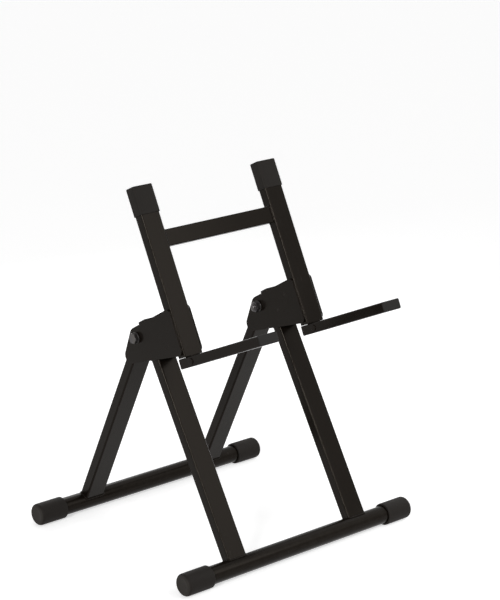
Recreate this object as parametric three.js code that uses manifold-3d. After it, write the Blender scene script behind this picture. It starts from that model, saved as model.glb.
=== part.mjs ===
// Folding amp stand: an A-frame of rectangular legs on two round floor rails, and in front of it
// a leaning cradle of two back uprights with an arm hinged at the foot of each.
// Units are millimetres. +X is to the right seen from the front, the front faces -Y, +Z is up,
// and the origin lies on the floor below the middle of the stand.

import * as THREE from 'three';
import { mergeVertices } from 'three/addons/utils/BufferGeometryUtils.js';
import Module from 'manifold-3d';

const wasm = await Module();
wasm.setup();

const rad = THREE.MathUtils.degToRad;

// ---------------------------------------------------------------- driving dimensions

const seamGap = 0.3; // left between pieces that are welded, seated or pressed together
const cutMargin = 1; // how far a hole's cutter passes the faces it opens

// Floor rails and their rubber caps
const railDiameter = 32;
const railWall = 1.5;
const overallWidth = 526;
const railSpacing = 410; // front rail axis to rear rail axis
const capDiameter = 40;
const capLength = 57;
const capEndWall = 5;
const capEdgeRadius = 6;
const capLipRadius = 1.6;

// Legs, uprights and crossbar: rectangular tube
const legWidth = 40;
const legDepth = 20;
const legWall = 1.5;
const legCornerRadius = 3;
const legSpacing = 282; // middle of the left leg to middle of the right leg
const frontLean = 30.5; // degrees from upright, leaning back
const rearLean = 25.8; // degrees from upright, leaning forward
const foldOffset = 24; // front leg axis to the rear leg's pivot
const legTopReach = 20; // front leg above the level of the pivot

// Plastic plugs in the open ends of legs and arms
const plugThickness = 2.5;
const plugDepth = 12;
const plugWall = 1.2;

// Cradle
const seatHeight = 363; // top of the arms' rear ends above the floor
const seatStandoff = 54; // front face of the front legs to the arms' rear ends
const uprightLean = 26.5;
const uprightLength = 300;
const crossbarHeight = 30;
const crossbarDepth = 14;
const crossbarCornerRadius = 2;
const crossbarRise = 205; // foot of the uprights to the middle of the crossbar
const uprightCapLength = 50;
const uprightCapWall = 1.6;
const uprightCapEndWall = 2;

// Arms
const armWidth = legWidth; // flush with the uprights
const armHeight = 18;
const armWall = 1.5;
const armCornerRadius = 2.5;
const armLength = 219; // without its end plug
const armTilt = 24.2; // degrees from level, front ends up
const armPivotReach = 12; // front face of the upright to the arm's pivot

// Arm hinge: a lug in the foot of the upright reaches into the arm, whose top wall is cut away there
const lugThickness = 10;
const lugEyeRadius = 7;
const lugRise = 45; // lug inside the upright
const lugKneeStandoff = 1; // front of the upright's hollow to the lug's knee
const lugClearance = 1; // lug's eye to the end of the cut in the arm's top wall
const armPinDiameter = 8;
const armPinHeadDiameter = 12;
const armPinHeadHeight = 1.2;
const armSpacerDiameter = 14;

// Head brackets and the rear frame's pivots
const bracketThickness = 3;
const bracketUprightRise = 78; // foot of the upright to the bracket's upper corner
const bracketFootRise = 12; // foot of the upright to the bracket's lower corner
const bracketCornerRadius = 8;
const bracketPivotRadius = 18;
const bracketWebStart = 12; // pivot to the upper edge of the web
const bracketWebLength = 30;
const pivotBoltDiameter = 10;
const pivotHeadAcrossFlats = 17;
const pivotHeadHeight = 6.4;
const pivotNutHeight = 8;
const pivotNutCollarHeight = 2.4;
const pivotNutCollarDiameter = 14;
const pivotBoltOverrun = 2;
const pivotWasherDiameter = 20;
const pivotWasherThickness = 2;
const pivotBushDiameter = 14;

// Flats on the round stretches: on half a corner, and round a whole rail or a small fastener
const cornerSteps = 2;
const roundSteps = 36;
const smallRoundSteps = 24;

// ---------------------------------------------------------------- worked-out places

const railRadius = railDiameter / 2;
const capRadius = capDiameter / 2;
// The rail's middle is as high as the flat of the faceted cap under it.
const railHeight = capRadius * Math.cos(Math.PI / roundSteps);
const railLength = overallWidth - 2 * (capEndWall + seamGap);
const legSides = [
  { side: 'left', x: -legSpacing / 2, outward: -1 },
  { side: 'right', x: legSpacing / 2, outward: 1 },
];

// Directions in the side view, as [y, z]
const alongFront = [Math.sin(rad(frontLean)), Math.cos(rad(frontLean))];
const alongRear = [-Math.sin(rad(rearLean)), Math.cos(rad(rearLean))];
const backOfRear = [Math.cos(rad(rearLean)), Math.sin(rad(rearLean))];
const alongUpright = [Math.sin(rad(uprightLean)), Math.cos(rad(uprightLean))];
const backOfUpright = [Math.cos(rad(uprightLean)), -Math.sin(rad(uprightLean))];
const alongArm = [-Math.cos(rad(armTilt)), Math.sin(rad(armTilt))];
const aboveArm = [Math.sin(rad(armTilt)), Math.cos(rad(armTilt))];

const frontRail = [-railSpacing / 2, railHeight];
const rearRail = [railSpacing / 2, railHeight];

/** Moves a side-view point by a distance along a direction. */
function shifted(point, direction, distance) {
  return [point[0] + direction[0] * distance, point[1] + direction[1] * distance];
}

// The two leg axes meet at the apex; the rear leg's pivot lies below it, where the rear axis is
// foldOffset behind the front one, so the folded legs lie one behind the other.
const openAngle = rad(frontLean + rearLean);
const rearToApex = (railSpacing * alongFront[1]) / Math.sin(openAngle);
const pivotOnRear = rearToApex - foldOffset / Math.sin(openAngle);
const pivotPoint = shifted(rearRail, alongRear, pivotOnRear);
const pivotOnFront =
  (pivotPoint[0] - frontRail[0]) * alongFront[0] + (pivotPoint[1] - frontRail[1]) * alongFront[1];
const frontLegEnd = pivotOnFront + legTopReach;

// Rear top corner of the arms, in front of the front legs' front faces
const legFrontAtSeat =
  frontRail[0] +
  (seatHeight - railHeight) * Math.tan(rad(frontLean)) -
  legDepth / 2 / Math.cos(rad(frontLean));
const seatCorner = [legFrontAtSeat - seatStandoff / Math.cos(rad(frontLean)), seatHeight];
const uprightFoot = shifted(seatCorner, aboveArm, seamGap);
const uprightAxisFoot = shifted(uprightFoot, backOfUpright, -legDepth / 2);
const armPivotFromEnd = legDepth + armPivotReach;

// The stand reaches from the lower edge of the arms' front ends to the back of the rear rail's caps.
const armEnd = armLength + seamGap + plugThickness;
const frontReach = seatCorner[0] + alongArm[0] * armEnd - aboveArm[0] * armHeight;
const rearReach = rearRail[0] + railHeight;

// ---------------------------------------------------------------- materials

const blackSteel = new THREE.MeshStandardMaterial({ color: 0x1c1a19, roughness: 0.42, metalness: 0.0 });
const blackRubber = new THREE.MeshStandardMaterial({ color: 0x232120, roughness: 0.75, metalness: 0.0 });
const blackPlastic = new THREE.MeshStandardMaterial({ color: 0x1f1f1f, roughness: 0.55, metalness: 0.0 });
const blackZinc = new THREE.MeshStandardMaterial({ color: 0x3b3a3a, roughness: 0.35, metalness: 0.9 });
const plainSteel = new THREE.MeshStandardMaterial({ color: 0x9a9a9a, roughness: 0.4, metalness: 1.0 });

// ---------------------------------------------------------------- shape helpers

/** Rounded rectangle centred on the origin. */
function roundedRectangle(width, depth, radius, Kind = THREE.Shape) {
  const outline = new Kind();
  const x = width / 2 - radius;
  const y = depth / 2 - radius;
  outline.absarc(x, y, radius, 0, Math.PI / 2, false);
  outline.absarc(-x, y, radius, Math.PI / 2, Math.PI, false);
  outline.absarc(-x, -y, radius, Math.PI, Math.PI * 1.5, false);
  outline.absarc(x, -y, radius, Math.PI * 1.5, Math.PI * 2, false);
  outline.closePath();
  return outline;
}

/** Straight prism of an outline from z = start, length long. */
function prism(outline, start, length, steps = cornerSteps) {
  const geometry = new THREE.ExtrudeGeometry(outline, {
    depth: length,
    bevelEnabled: false,
    curveSegments: steps,
  });
  geometry.translate(0, 0, start);
  return geometry;
}

/** Rectangular tube along +Z from z = start. */
function rectangularTube(width, depth, radius, wall, start, length) {
  const outline = roundedRectangle(width, depth, radius);
  const bore = roundedRectangle(width - 2 * wall, depth - 2 * wall, radius - wall, THREE.Path);
  outline.holes.push(bore);
  return prism(outline, start, length);
}

/** Ring or disc shape for washers, bushes and spacers. */
function ring(outerRadius, innerRadius) {
  const outline = new THREE.Shape();
  outline.absarc(0, 0, outerRadius, 0, Math.PI * 2, false);
  const bore = new THREE.Path();
  bore.absarc(0, 0, innerRadius, 0, Math.PI * 2, true);
  outline.holes.push(bore);
  return outline;
}

/** Turns a geometry made along Z so that it runs along X, its y axis staying up. */
function alongX(geometry) {
  const axes = new THREE.Matrix4().makeBasis(
    new THREE.Vector3(0, 1, 0),
    new THREE.Vector3(0, 0, 1),
    new THREE.Vector3(1, 0, 0),
  );
  return geometry.applyMatrix4(axes);
}

/** Outline in the side view (y, z) extruded across X from x0 to x1. */
function slabAcross(outline, x0, x1, steps = cornerSteps) {
  return alongX(prism(outline, x0, x1 - x0, steps));
}

/** Cylinder along X, centred at a side-view point. */
function rodAcross(radius, x0, x1, point = [0, 0], steps = smallRoundSteps) {
  const geometry = new THREE.CylinderGeometry(radius, radius, x1 - x0, steps);
  geometry.rotateZ(Math.PI / 2);
  geometry.translate((x0 + x1) / 2, point[0], point[1]);
  return geometry;
}

/** Convex outline round a list of circles given as [y, z, radius]. */
function outlineRound(circles, stepsEach = smallRoundSteps) {
  const points = [];
  for (const [y, z, radius] of circles) {
    for (let i = 0; i < stepsEach; i += 1) {
      const turn = (i / stepsEach) * Math.PI * 2;
      points.push([y + radius * Math.cos(turn), z + radius * Math.sin(turn)]);
    }
  }
  points.sort((a, b) => a[0] - b[0] || a[1] - b[1]);
  const turnsRight = (a, b, c) =>
    (b[0] - a[0]) * (c[1] - a[1]) - (b[1] - a[1]) * (c[0] - a[0]) <= 1e-6;
  const chain = (ordered) => {
    const kept = [];
    for (const point of ordered) {
      while (kept.length > 1 && turnsRight(kept[kept.length - 2], kept[kept.length - 1], point)) {
        kept.pop();
      }
      kept.push(point);
    }
    kept.pop();
    return kept;
  };
  const hull = [...chain(points), ...chain([...points].reverse())];
  return new THREE.Shape(hull.map(([y, z]) => new THREE.Vector2(y, z)));
}

// ---------------------------------------------------------------- cutting and joining

/** Makes a solid of a closed geometry. */
function solid(geometry) {
  const bare = geometry.index ? geometry.toNonIndexed() : geometry.clone();
  bare.deleteAttribute('normal');
  bare.deleteAttribute('uv');
  const merged = mergeVertices(bare, 1e-4);
  const mesh = new wasm.Mesh({
    numProp: 3,
    vertProperties: new Float32Array(merged.attributes.position.array),
    triVerts: new Uint32Array(merged.index.array),
  });
  return new wasm.Manifold(mesh);
}

/** Turns a solid back into a geometry. */
function geometryOf(body) {
  const mesh = body.getMesh();
  const geometry = new THREE.BufferGeometry();
  geometry.setAttribute('position', new THREE.BufferAttribute(mesh.vertProperties, 3));
  geometry.setIndex(new THREE.BufferAttribute(mesh.triVerts, 1));
  geometry.computeVertexNormals();
  return geometry;
}

/** First geometry with the others taken away. */
function cut(geometry, ...tools) {
  return geometryOf(tools.reduce((body, tool) => body.subtract(solid(tool)), solid(geometry)));
}

/** All geometries joined. */
function join(geometry, ...others) {
  return geometryOf(others.reduce((body, other) => body.add(solid(other)), solid(geometry)));
}

/** Named mesh added to a group. */
function place(group, name, geometry, material, x = 0, y = 0, z = 0) {
  const mesh = new THREE.Mesh(geometry, material);
  mesh.name = name;
  mesh.position.set(x, y, z);
  group.add(mesh);
  return mesh;
}

// ---------------------------------------------------------------- pieces

/** Round floor rail, a tube along X. */
function floorRail() {
  const outline = ring(railRadius, railRadius - railWall);
  return alongX(prism(outline, -railLength / 2, railLength, roundSteps / 2));
}

/** Rubber cap as a cup along +X: x = 0 at its open end, its bore fits the rail. */
function railCap() {
  const bore = railRadius + seamGap;
  const lipMiddle = capRadius - capLipRadius;
  const edgeMiddle = capRadius - capEdgeRadius;
  const profile = new THREE.Path();
  profile.moveTo(0, capLength - capEndWall);
  profile.lineTo(bore, capLength - capEndWall);
  profile.lineTo(bore, 0);
  profile.lineTo(lipMiddle, 0);
  profile.absarc(lipMiddle, capLipRadius, capLipRadius, -Math.PI / 2, 0, false);
  profile.absarc(edgeMiddle, capLength - capEdgeRadius, capEdgeRadius, 0, Math.PI / 2, false);
  profile.lineTo(0, capLength);
  const points = profile.getPoints(cornerSteps);
  const cap = new THREE.LatheGeometry(points, roundSteps, Math.PI / roundSteps);
  cap.rotateZ(-Math.PI / 2);
  return geometryOf(solid(cap));
}

/** Leg tube in its frame's own axes, saddled onto the rail at z = 0. */
function leg(length) {
  const start = railRadius / 2;
  const tube = rectangularTube(legWidth, legDepth, legCornerRadius, legWall, start, length - start);
  return cut(tube, rodAcross(railRadius + seamGap, -legWidth, legWidth, [0, 0], roundSteps));
}

/** Rear leg: rounded about its pivot at the top, with a hole for the bush. */
function rearLeg() {
  const roundTop = legDepth / 2;
  const square = leg(pivotOnRear + roundTop);
  const ends = [
    [0, 0, roundTop],
    [0, pivotOnRear, roundTop],
  ];
  const outline = outlineRound(ends, roundSteps);
  const kept = solid(square).intersect(solid(slabAcross(outline, -legWidth, legWidth)));
  const bushHole = rodAcross(pivotBushDiameter / 2 + seamGap, -legWidth, legWidth, [0, pivotOnRear]);
  return geometryOf(kept.subtract(solid(bushHole)));
}

/** Plastic plug for a tube's open end: a flush lid from z = 0 up, with a hollow skirt below it. */
function tubePlug(width, depth, radius, wall) {
  const skirtWidth = width - 2 * (wall + seamGap);
  const skirtDepth = depth - 2 * (wall + seamGap);
  const skirtLength = plugDepth + plugThickness / 2;
  const lid = prism(roundedRectangle(width, depth, radius), 0, plugThickness);
  const skirt = rectangularTube(skirtWidth, skirtDepth, radius - wall, plugWall, -plugDepth, skirtLength);
  return join(lid, skirt);
}

/** Rubber cap that slips over the top of an upright, open at z = 0. */
function uprightCap() {
  const wall = uprightCapWall;
  const innerWidth = legWidth + 2 * seamGap;
  const innerDepth = legDepth + 2 * seamGap;
  const innerRadius = legCornerRadius + seamGap;
  const bore = roundedRectangle(innerWidth, innerDepth, innerRadius);
  const outline = roundedRectangle(innerWidth + 2 * wall, innerDepth + 2 * wall, innerRadius + wall);
  const boreCutter = prism(bore, -cutMargin, uprightCapLength - uprightCapEndWall + cutMargin);
  return cut(prism(outline, 0, uprightCapLength), boreCutter);
}

/** Crossbar between the uprights, a flat tube along X. */
function crossbar() {
  const length = legSpacing - legWidth - 2 * seamGap;
  const radius = crossbarCornerRadius;
  return alongX(rectangularTube(crossbarDepth, crossbarHeight, radius, legWall, -length / 2, length));
}

/** Cutter along X for the arm pin's hole, in the arm's axes. */
function armPinHole() {
  const radius = armPinDiameter / 2 + seamGap;
  return rodAcross(radius, -armWidth, armWidth, [-armHeight / 2, armPivotFromEnd]);
}

/**
 * Arm tube along +Z with its top face at y = 0. At its rear end the top wall is cut away between the
 * side walls, which lets the lug in to the pin.
 */
function arm() {
  const tube = rectangularTube(armWidth, armHeight, armCornerRadius, armWall, 0, armLength);
  tube.translate(0, -armHeight / 2, 0);
  const openWidth = armWidth - 2 * armWall;
  const openLength = armPivotFromEnd + lugEyeRadius + lugClearance;
  const opening = new THREE.BoxGeometry(openWidth, armHeight, 2 * openLength);
  return cut(tube, opening, armPinHole());
}

/** Hinge lug, in the arm's axes: up into the foot of the upright, and forward to the pin. */
function hingeLug() {
  const kneeRadius = lugEyeRadius - seamGap;
  const leanFromSquare = rad(armTilt - uprightLean);
  const hollow = legDepth - 2 * legWall - 2 * seamGap;
  const kneePlace = legWall + lugKneeStandoff + seamGap + kneeRadius;
  const eye = outlineRound([
    [-armHeight / 2, armPivotFromEnd, lugEyeRadius],
    [-armHeight / 2, kneePlace, kneeRadius],
  ]);
  const eyeSlab = slabAcross(eye, -lugThickness / 2, lugThickness / 2);
  const shank = new THREE.BoxGeometry(lugThickness, lugRise + armHeight / 2, hollow);
  shank.translate(0, (lugRise - armHeight / 2) / 2, legDepth / 2);
  shank.rotateX(leanFromSquare);
  return cut(join(eyeSlab, shank), armPinHole());
}

/** Solid rivet pin along X with a low head on each side of the arm, painted with it. */
function armPin() {
  const reach = armWidth / 2 + seamGap;
  const shankEnd = reach + armPinHeadHeight / 2;
  const shank = rodAcross(armPinDiameter / 2, -shankEnd, shankEnd);
  const rightHead = rodAcross(armPinHeadDiameter / 2, reach, reach + armPinHeadHeight);
  const leftHead = rodAcross(armPinHeadDiameter / 2, -reach - armPinHeadHeight, -reach);
  return join(shank, rightHead, leftHead);
}

/** Spacer between the lug and the arm's wall, along X from x = 0. */
function armSpacer() {
  const length = (armWidth - lugThickness) / 2 - armWall - 2 * seamGap;
  const outline = ring(armSpacerDiameter / 2, armPinDiameter / 2 + seamGap);
  return alongX(prism(outline, 0, length, smallRoundSteps / 2));
}

/** Head bracket round one leg's middle: two side plates, and the web that stops the rear leg. */
function headBracket() {
  const inner = legWidth / 2 + seamGap;
  const outer = inner + bracketThickness;
  const webFace = legDepth / 2 + seamGap;
  const webMiddle = pivotOnRear - bracketWebStart - bracketWebLength / 2;
  const webEnd = shifted(rearRail, alongRear, pivotOnRear - bracketWebStart - bracketWebLength);
  const plate = outlineRound([
    [...shifted(uprightAxisFoot, alongUpright, bracketFootRise), bracketCornerRadius],
    [...shifted(uprightAxisFoot, alongUpright, bracketUprightRise), bracketCornerRadius],
    [...pivotPoint, bracketPivotRadius],
    [...webEnd, webFace + bracketThickness + seamGap],
  ]);
  const web = new THREE.BoxGeometry(2 * outer - bracketThickness, bracketThickness, bracketWebLength);
  web.rotateX(rad(rearLean));
  const webPlace = shifted(
    shifted(rearRail, alongRear, webMiddle),
    backOfRear,
    webFace + bracketThickness / 2,
  );
  web.translate(0, webPlace[0], webPlace[1]);
  const holeEnd = outer + cutMargin;
  const boltHole = rodAcross(pivotBoltDiameter / 2 + seamGap, -holeEnd, holeEnd, pivotPoint);
  return cut(join(slabAcross(plate, -outer, -inner), slabAcross(plate, inner, outer), web), boltHole);
}

// Stack on the pivot bolt, measured outward from the middle of the leg
const washerSeat = legWidth / 2 + seamGap + bracketThickness + seamGap;
const headSeat = washerSeat + pivotWasherThickness + seamGap;
const nutEnd = headSeat + pivotNutHeight + pivotNutCollarHeight;

/** Six-sided prism along X. */
function hexAcross(acrossFlats, x0, x1) {
  return rodAcross(acrossFlats / Math.sqrt(3), x0, x1, [0, 0], 6);
}

/** Pivot bolt along X, its head on the +X side. */
function pivotBolt() {
  const shankEnd = headSeat + pivotHeadHeight / 2;
  const shank = rodAcross(pivotBoltDiameter / 2, -nutEnd - pivotBoltOverrun, shankEnd);
  return join(shank, hexAcross(pivotHeadAcrossFlats, headSeat, headSeat + pivotHeadHeight));
}

/** Locking nut on the -X side of the pivot bolt. */
function pivotNut() {
  const hex = hexAcross(pivotHeadAcrossFlats, -headSeat - pivotNutHeight, -headSeat);
  const collar = rodAcross(pivotNutCollarDiameter / 2, -nutEnd, -headSeat - pivotNutHeight / 2);
  const boreRadius = pivotBoltDiameter / 2 + seamGap;
  const bore = rodAcross(boreRadius, -nutEnd - cutMargin, -headSeat + cutMargin);
  return cut(join(hex, collar), bore);
}

/** Flat washer along X from x = 0. */
function pivotWasher() {
  const outline = ring(pivotWasherDiameter / 2, pivotBoltDiameter / 2 + seamGap);
  return alongX(prism(outline, 0, pivotWasherThickness, smallRoundSteps / 2));
}

/** Steel bush in the rear leg round the pivot bolt. */
function pivotBush() {
  const outline = ring(pivotBushDiameter / 2, pivotBoltDiameter / 2 + seamGap);
  return alongX(prism(outline, -legWidth / 2, legWidth, smallRoundSteps / 2));
}

// ---------------------------------------------------------------- assembly

/** Group turned about X at a side-view point. */
function frameAt(point, turn) {
  const group = new THREE.Group();
  group.position.set(0, point[0], point[1]);
  group.rotation.x = turn;
  return group;
}

/** Two rubber caps on the ends of a rail. */
function addRailCaps(group, prefix) {
  for (const { side, outward } of legSides) {
    const cap = place(group, `${prefix}_rail_cap_${side}`, railCap(), blackRubber);
    cap.position.x = outward * (overallWidth / 2 - capLength);
    cap.rotation.z = outward > 0 ? 0 : Math.PI;
  }
}

const frontRailGroup = frameAt(frontRail, 0);
place(frontRailGroup, 'front_rail', floorRail(), blackSteel);
addRailCaps(frontRailGroup, 'front');

const rearRailGroup = frameAt(rearRail, 0);
place(rearRailGroup, 'rear_rail', floorRail(), blackSteel);
addRailCaps(rearRailGroup, 'rear');

const frontLegGroup = frameAt(frontRail, -rad(frontLean));
const rearLegGroup = frameAt(rearRail, rad(rearLean));
const uprightGroup = frameAt(uprightFoot, -rad(uprightLean));
const armGroup = frameAt(seatCorner, rad(90 - armTilt));
const pivotGroup = frameAt(pivotPoint, 0);
const bracketGroup = new THREE.Group();

const uprightMiddle = -legDepth / 2;
place(uprightGroup, 'back_crossbar', crossbar(), blackSteel, 0, uprightMiddle, crossbarRise);

for (const { side, x, outward } of legSides) {
  place(frontLegGroup, `front_leg_${side}`, leg(frontLegEnd), blackSteel, x);
  const legPlug = tubePlug(legWidth, legDepth, legCornerRadius, legWall);
  place(frontLegGroup, `front_leg_plug_${side}`, legPlug, blackPlastic, x, 0, frontLegEnd + seamGap);
  place(rearLegGroup, `rear_leg_${side}`, rearLeg(), blackSteel, x);
  place(bracketGroup, `head_bracket_${side}`, headBracket(), blackSteel, x);

  const upright = rectangularTube(legWidth, legDepth, legCornerRadius, legWall, 0, uprightLength);
  place(uprightGroup, `back_upright_${side}`, upright, blackSteel, x, uprightMiddle);
  const capStart = uprightLength - uprightCapLength + uprightCapEndWall + seamGap;
  place(uprightGroup, `upright_cap_${side}`, uprightCap(), blackRubber, x, uprightMiddle, capStart);

  place(armGroup, `arm_${side}`, arm(), blackSteel, x);
  const armPlug = tubePlug(armWidth, armHeight, armCornerRadius, armWall);
  place(armGroup, `arm_plug_${side}`, armPlug, blackPlastic, x, -armHeight / 2, armLength + seamGap);
  place(armGroup, `arm_hinge_lug_${side}`, hingeLug(), blackSteel, x);
  place(armGroup, `arm_pin_${side}`, armPin(), blackSteel, x, -armHeight / 2, armPivotFromEnd);
  const spacerStart = lugThickness / 2 + seamGap;
  const outerSpacer = place(armGroup, `arm_spacer_outer_${side}`, armSpacer(), plainSteel);
  outerSpacer.position.set(x + outward * spacerStart, -armHeight / 2, armPivotFromEnd);
  outerSpacer.rotation.z = outward > 0 ? 0 : Math.PI;
  const innerSpacer = place(armGroup, `arm_spacer_inner_${side}`, armSpacer(), plainSteel);
  innerSpacer.position.set(x - outward * spacerStart, -armHeight / 2, armPivotFromEnd);
  innerSpacer.rotation.z = outward > 0 ? Math.PI : 0;

  // The bolt goes in from the outside, so its head is outward and its nut faces the other leg.
  const stack = new THREE.Group();
  stack.position.x = x;
  stack.rotation.z = outward > 0 ? 0 : Math.PI;
  place(stack, `pivot_bolt_${side}`, pivotBolt(), blackZinc);
  place(stack, `pivot_nut_${side}`, pivotNut(), blackZinc);
  place(stack, `pivot_washer_outer_${side}`, pivotWasher(), blackZinc, washerSeat);
  place(stack, `pivot_washer_inner_${side}`, pivotWasher(), blackZinc, -washerSeat - pivotWasherThickness);
  place(stack, `pivot_bush_${side}`, pivotBush(), plainSteel);
  pivotGroup.add(stack);
}

const stand = new THREE.Group();
stand.position.y = -(frontReach + rearReach) / 2;
stand.add(
  frontRailGroup,
  rearRailGroup,
  frontLegGroup,
  rearLegGroup,
  uprightGroup,
  bracketGroup,
  armGroup,
  pivotGroup,
);

const ampStand = new THREE.Group();
ampStand.add(stand);

export default ampStand;
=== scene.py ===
"""Looks of a folding amp stand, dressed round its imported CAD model.

Everything is in metres in the stand's own frame: +X to the right seen from the front, the front
faces -Y, +Z up, and the origin on the floor below the middle of the stand.
"""

from __future__ import annotations

import logging
import math
from collections.abc import Callable, Iterator, Sequence
from dataclasses import dataclass
from enum import Enum

import bmesh
import bpy
from mathutils import Matrix, Vector

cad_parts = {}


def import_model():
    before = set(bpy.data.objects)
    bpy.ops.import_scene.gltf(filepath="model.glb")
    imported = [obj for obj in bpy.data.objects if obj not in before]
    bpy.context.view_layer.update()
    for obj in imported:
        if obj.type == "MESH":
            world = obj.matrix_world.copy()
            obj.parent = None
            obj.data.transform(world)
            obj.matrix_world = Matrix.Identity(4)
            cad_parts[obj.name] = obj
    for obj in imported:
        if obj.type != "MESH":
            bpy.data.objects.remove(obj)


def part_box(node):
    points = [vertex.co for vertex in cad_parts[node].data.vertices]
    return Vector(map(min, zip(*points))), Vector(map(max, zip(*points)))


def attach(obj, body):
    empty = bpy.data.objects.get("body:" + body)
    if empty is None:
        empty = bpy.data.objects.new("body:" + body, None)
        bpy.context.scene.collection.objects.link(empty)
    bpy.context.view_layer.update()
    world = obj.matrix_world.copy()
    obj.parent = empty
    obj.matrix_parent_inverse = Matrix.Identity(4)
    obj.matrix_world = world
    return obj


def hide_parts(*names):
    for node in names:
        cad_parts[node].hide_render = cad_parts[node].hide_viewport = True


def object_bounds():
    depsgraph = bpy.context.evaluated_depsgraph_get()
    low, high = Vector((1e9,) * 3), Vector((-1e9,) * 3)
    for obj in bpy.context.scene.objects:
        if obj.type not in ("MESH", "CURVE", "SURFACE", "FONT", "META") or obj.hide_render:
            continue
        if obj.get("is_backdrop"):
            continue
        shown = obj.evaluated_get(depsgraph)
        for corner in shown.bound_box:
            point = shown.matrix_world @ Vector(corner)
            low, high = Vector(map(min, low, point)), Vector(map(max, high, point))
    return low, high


log = logging.getLogger("amp_stand")

MM = 0.001
NEAR = 0.05 * MM  # slack when a point is told by its place
SQUARE = 0.99  # least part of a normal along an axis, for a face square to it
FLAT = 0.99999  # the same, for a flat face that runs into a rounded edge
SHARP = 32  # degrees between two faces, past which their edge stays sharp
CAP_SHARP = 40  # the same, on rubber caps
RIPPLE = (1.0, 0.93, 0.86)  # a weld bead's radius along one of its pools
BEAD_END = 0.6  # the same, at the two ends of an open bead
TUBE_BREAK = 60  # degrees between two faces, past which a tube's edge is eased
PLATE_BREAK = 50  # the same, on plates
BOLT_BREAK = 35  # the same, on bolts and nuts
RAIL_SIDES = 96  # flats round a rail and what fits it
PIVOT_SIDES = 48  # flats round a bolt or pin and what fits it
LAMP_REACH = 3  # metres out to a distant lamp
QUARTER_TURN = math.pi / 2

Point = tuple[float, float]
Triple = tuple[float, float, float]
Test = Callable[[Vector, Vector], bool]
Piece = bpy.types.Object


class Slot(Enum):
    """Material slots of the stand's record."""

    STEEL = "black_steel"
    RUBBER = "black_rubber"
    PLASTIC = "black_plastic"
    ZINC = "black_zinc"
    BARE = "plain_steel"


class Body(Enum):
    """Rigid bodies that the pieces ride on."""

    FRONT = "front_frame"
    REAR = "rear_frame"
    ARM_LEFT = "arm_l"
    ARM_RIGHT = "arm_r"


@dataclass(frozen=True)
class Side:
    """One side of the stand.

    Attributes:
        name: Word that the CAD nodes of this side end in.
        sign: -1 on the left, +1 on the right.
        arm_body: Body of this side's support arm.
    """

    name: str
    sign: int
    arm_body: Body


SIDES = (Side("left", -1, Body.ARM_LEFT), Side("right", 1, Body.ARM_RIGHT))


# ------------------------------------------------------------------------------------- sizes


@dataclass(frozen=True)
class StandSizes:
    """Sizes of the stand, in metres and degrees, and the places worked out from them."""

    seam: float = 0.3 * MM
    rail_radius: float = 16 * MM
    rail_wall: float = 1.5 * MM
    width: float = 526 * MM
    cap_radius: float = 19.924 * MM
    cap_length: float = 57 * MM
    cap_end_wall: float = 5 * MM
    leg_width: float = 40 * MM
    leg_depth: float = 20 * MM
    leg_wall: float = 1.5 * MM
    leg_corner: float = 3 * MM
    leg_spacing: float = 282 * MM
    front_lean: float = 30.5
    rear_lean: float = 25.8
    upright_lean: float = 26.5
    upright_length: float = 300 * MM
    crossbar_rise: float = 205 * MM
    arm_height: float = 18 * MM
    arm_corner: float = 2.5 * MM
    arm_length: float = 219 * MM
    arm_tilt: float = 24.2
    arm_pivot_drop: float = 9 * MM
    arm_pivot_run: float = 32 * MM
    lug_thickness: float = 10 * MM
    lug_eye: float = 7 * MM
    pin_radius: float = 4 * MM
    bolt_radius: float = 5 * MM
    plug_lid: float = 2.5 * MM
    plug_edge: float = 1.2 * MM
    plug_skirt: float = 12 * MM
    plug_wall: float = 1.2 * MM
    plate: float = 3 * MM
    leg_top_reach: float = 20 * MM

    def front_axis(self) -> Point:
        """Axis of the front rail in the side view, read from the frame."""
        return axis_of("front_rail")

    def rear_axis(self) -> Point:
        """Axis of the rear rail in the side view, read from the frame."""
        return axis_of("rear_rail")

    def pivot(self) -> Point:
        """Pivot of the rear frame in the side view, read from the frame's bolt."""
        return axis_of("pivot_washer_outer_left")

    def arm_pivot(self) -> Point:
        """Pivot of the support arms in the side view, read from the frame's pin."""
        return axis_of("arm_pin_left")

    def arm_seat(self) -> Point:
        """Rear upper corner of the support arms in the side view."""
        rear = shifted(self.arm_pivot(), behind(self.arm_tilt), self.arm_pivot_run)
        return shifted(rear, leaning(self.arm_tilt), self.arm_pivot_drop)

    def upright_foot(self) -> Point:
        """Foot of the uprights' back faces in the side view, just above the arms' rear ends."""
        return shifted(self.arm_seat(), leaning(self.arm_tilt), self.seam)

    def upright_axis_foot(self) -> Point:
        """Foot of the uprights' middle line in the side view."""
        return shifted(self.upright_foot(), behind(self.upright_lean), -self.leg_depth / 2)

    def rear_reach(self) -> float:
        """Distance from the rear rail's axis to the rear legs' pivot."""
        return (Vector(self.pivot()) - Vector(self.rear_axis())).length

    def leg_x(self, side: Side) -> float:
        """Middle of the leg, upright and arm of a side."""
        return side.sign * self.leg_spacing / 2

    def leg_section(self) -> Triple:
        """Width, depth and corner radius of the legs' and uprights' tube."""
        return self.leg_width, self.leg_depth, self.leg_corner

    def arm_section(self) -> Triple:
        """Width, height and corner radius of the arms' tube."""
        return self.leg_width, self.arm_height, self.arm_corner


def axis_of(node: str) -> Point:
    """Middle of a CAD node's box in the side view, as y and z."""
    low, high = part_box(node)
    return tuple((low + high).yz / 2)


def shifted(point: Point, direction: Point, distance: float) -> Point:
    """A side-view point moved a distance along a unit direction, each as y and z."""
    return point[0] + direction[0] * distance, point[1] + direction[1] * distance


def leaning(degrees: float) -> Point:
    """Upward direction in the side view that leans back by an angle."""
    return math.sin(math.radians(degrees)), math.cos(math.radians(degrees))


def behind(degrees: float) -> Point:
    """Direction square to `leaning`, pointing back."""
    return math.cos(math.radians(degrees)), -math.sin(math.radians(degrees))


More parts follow.
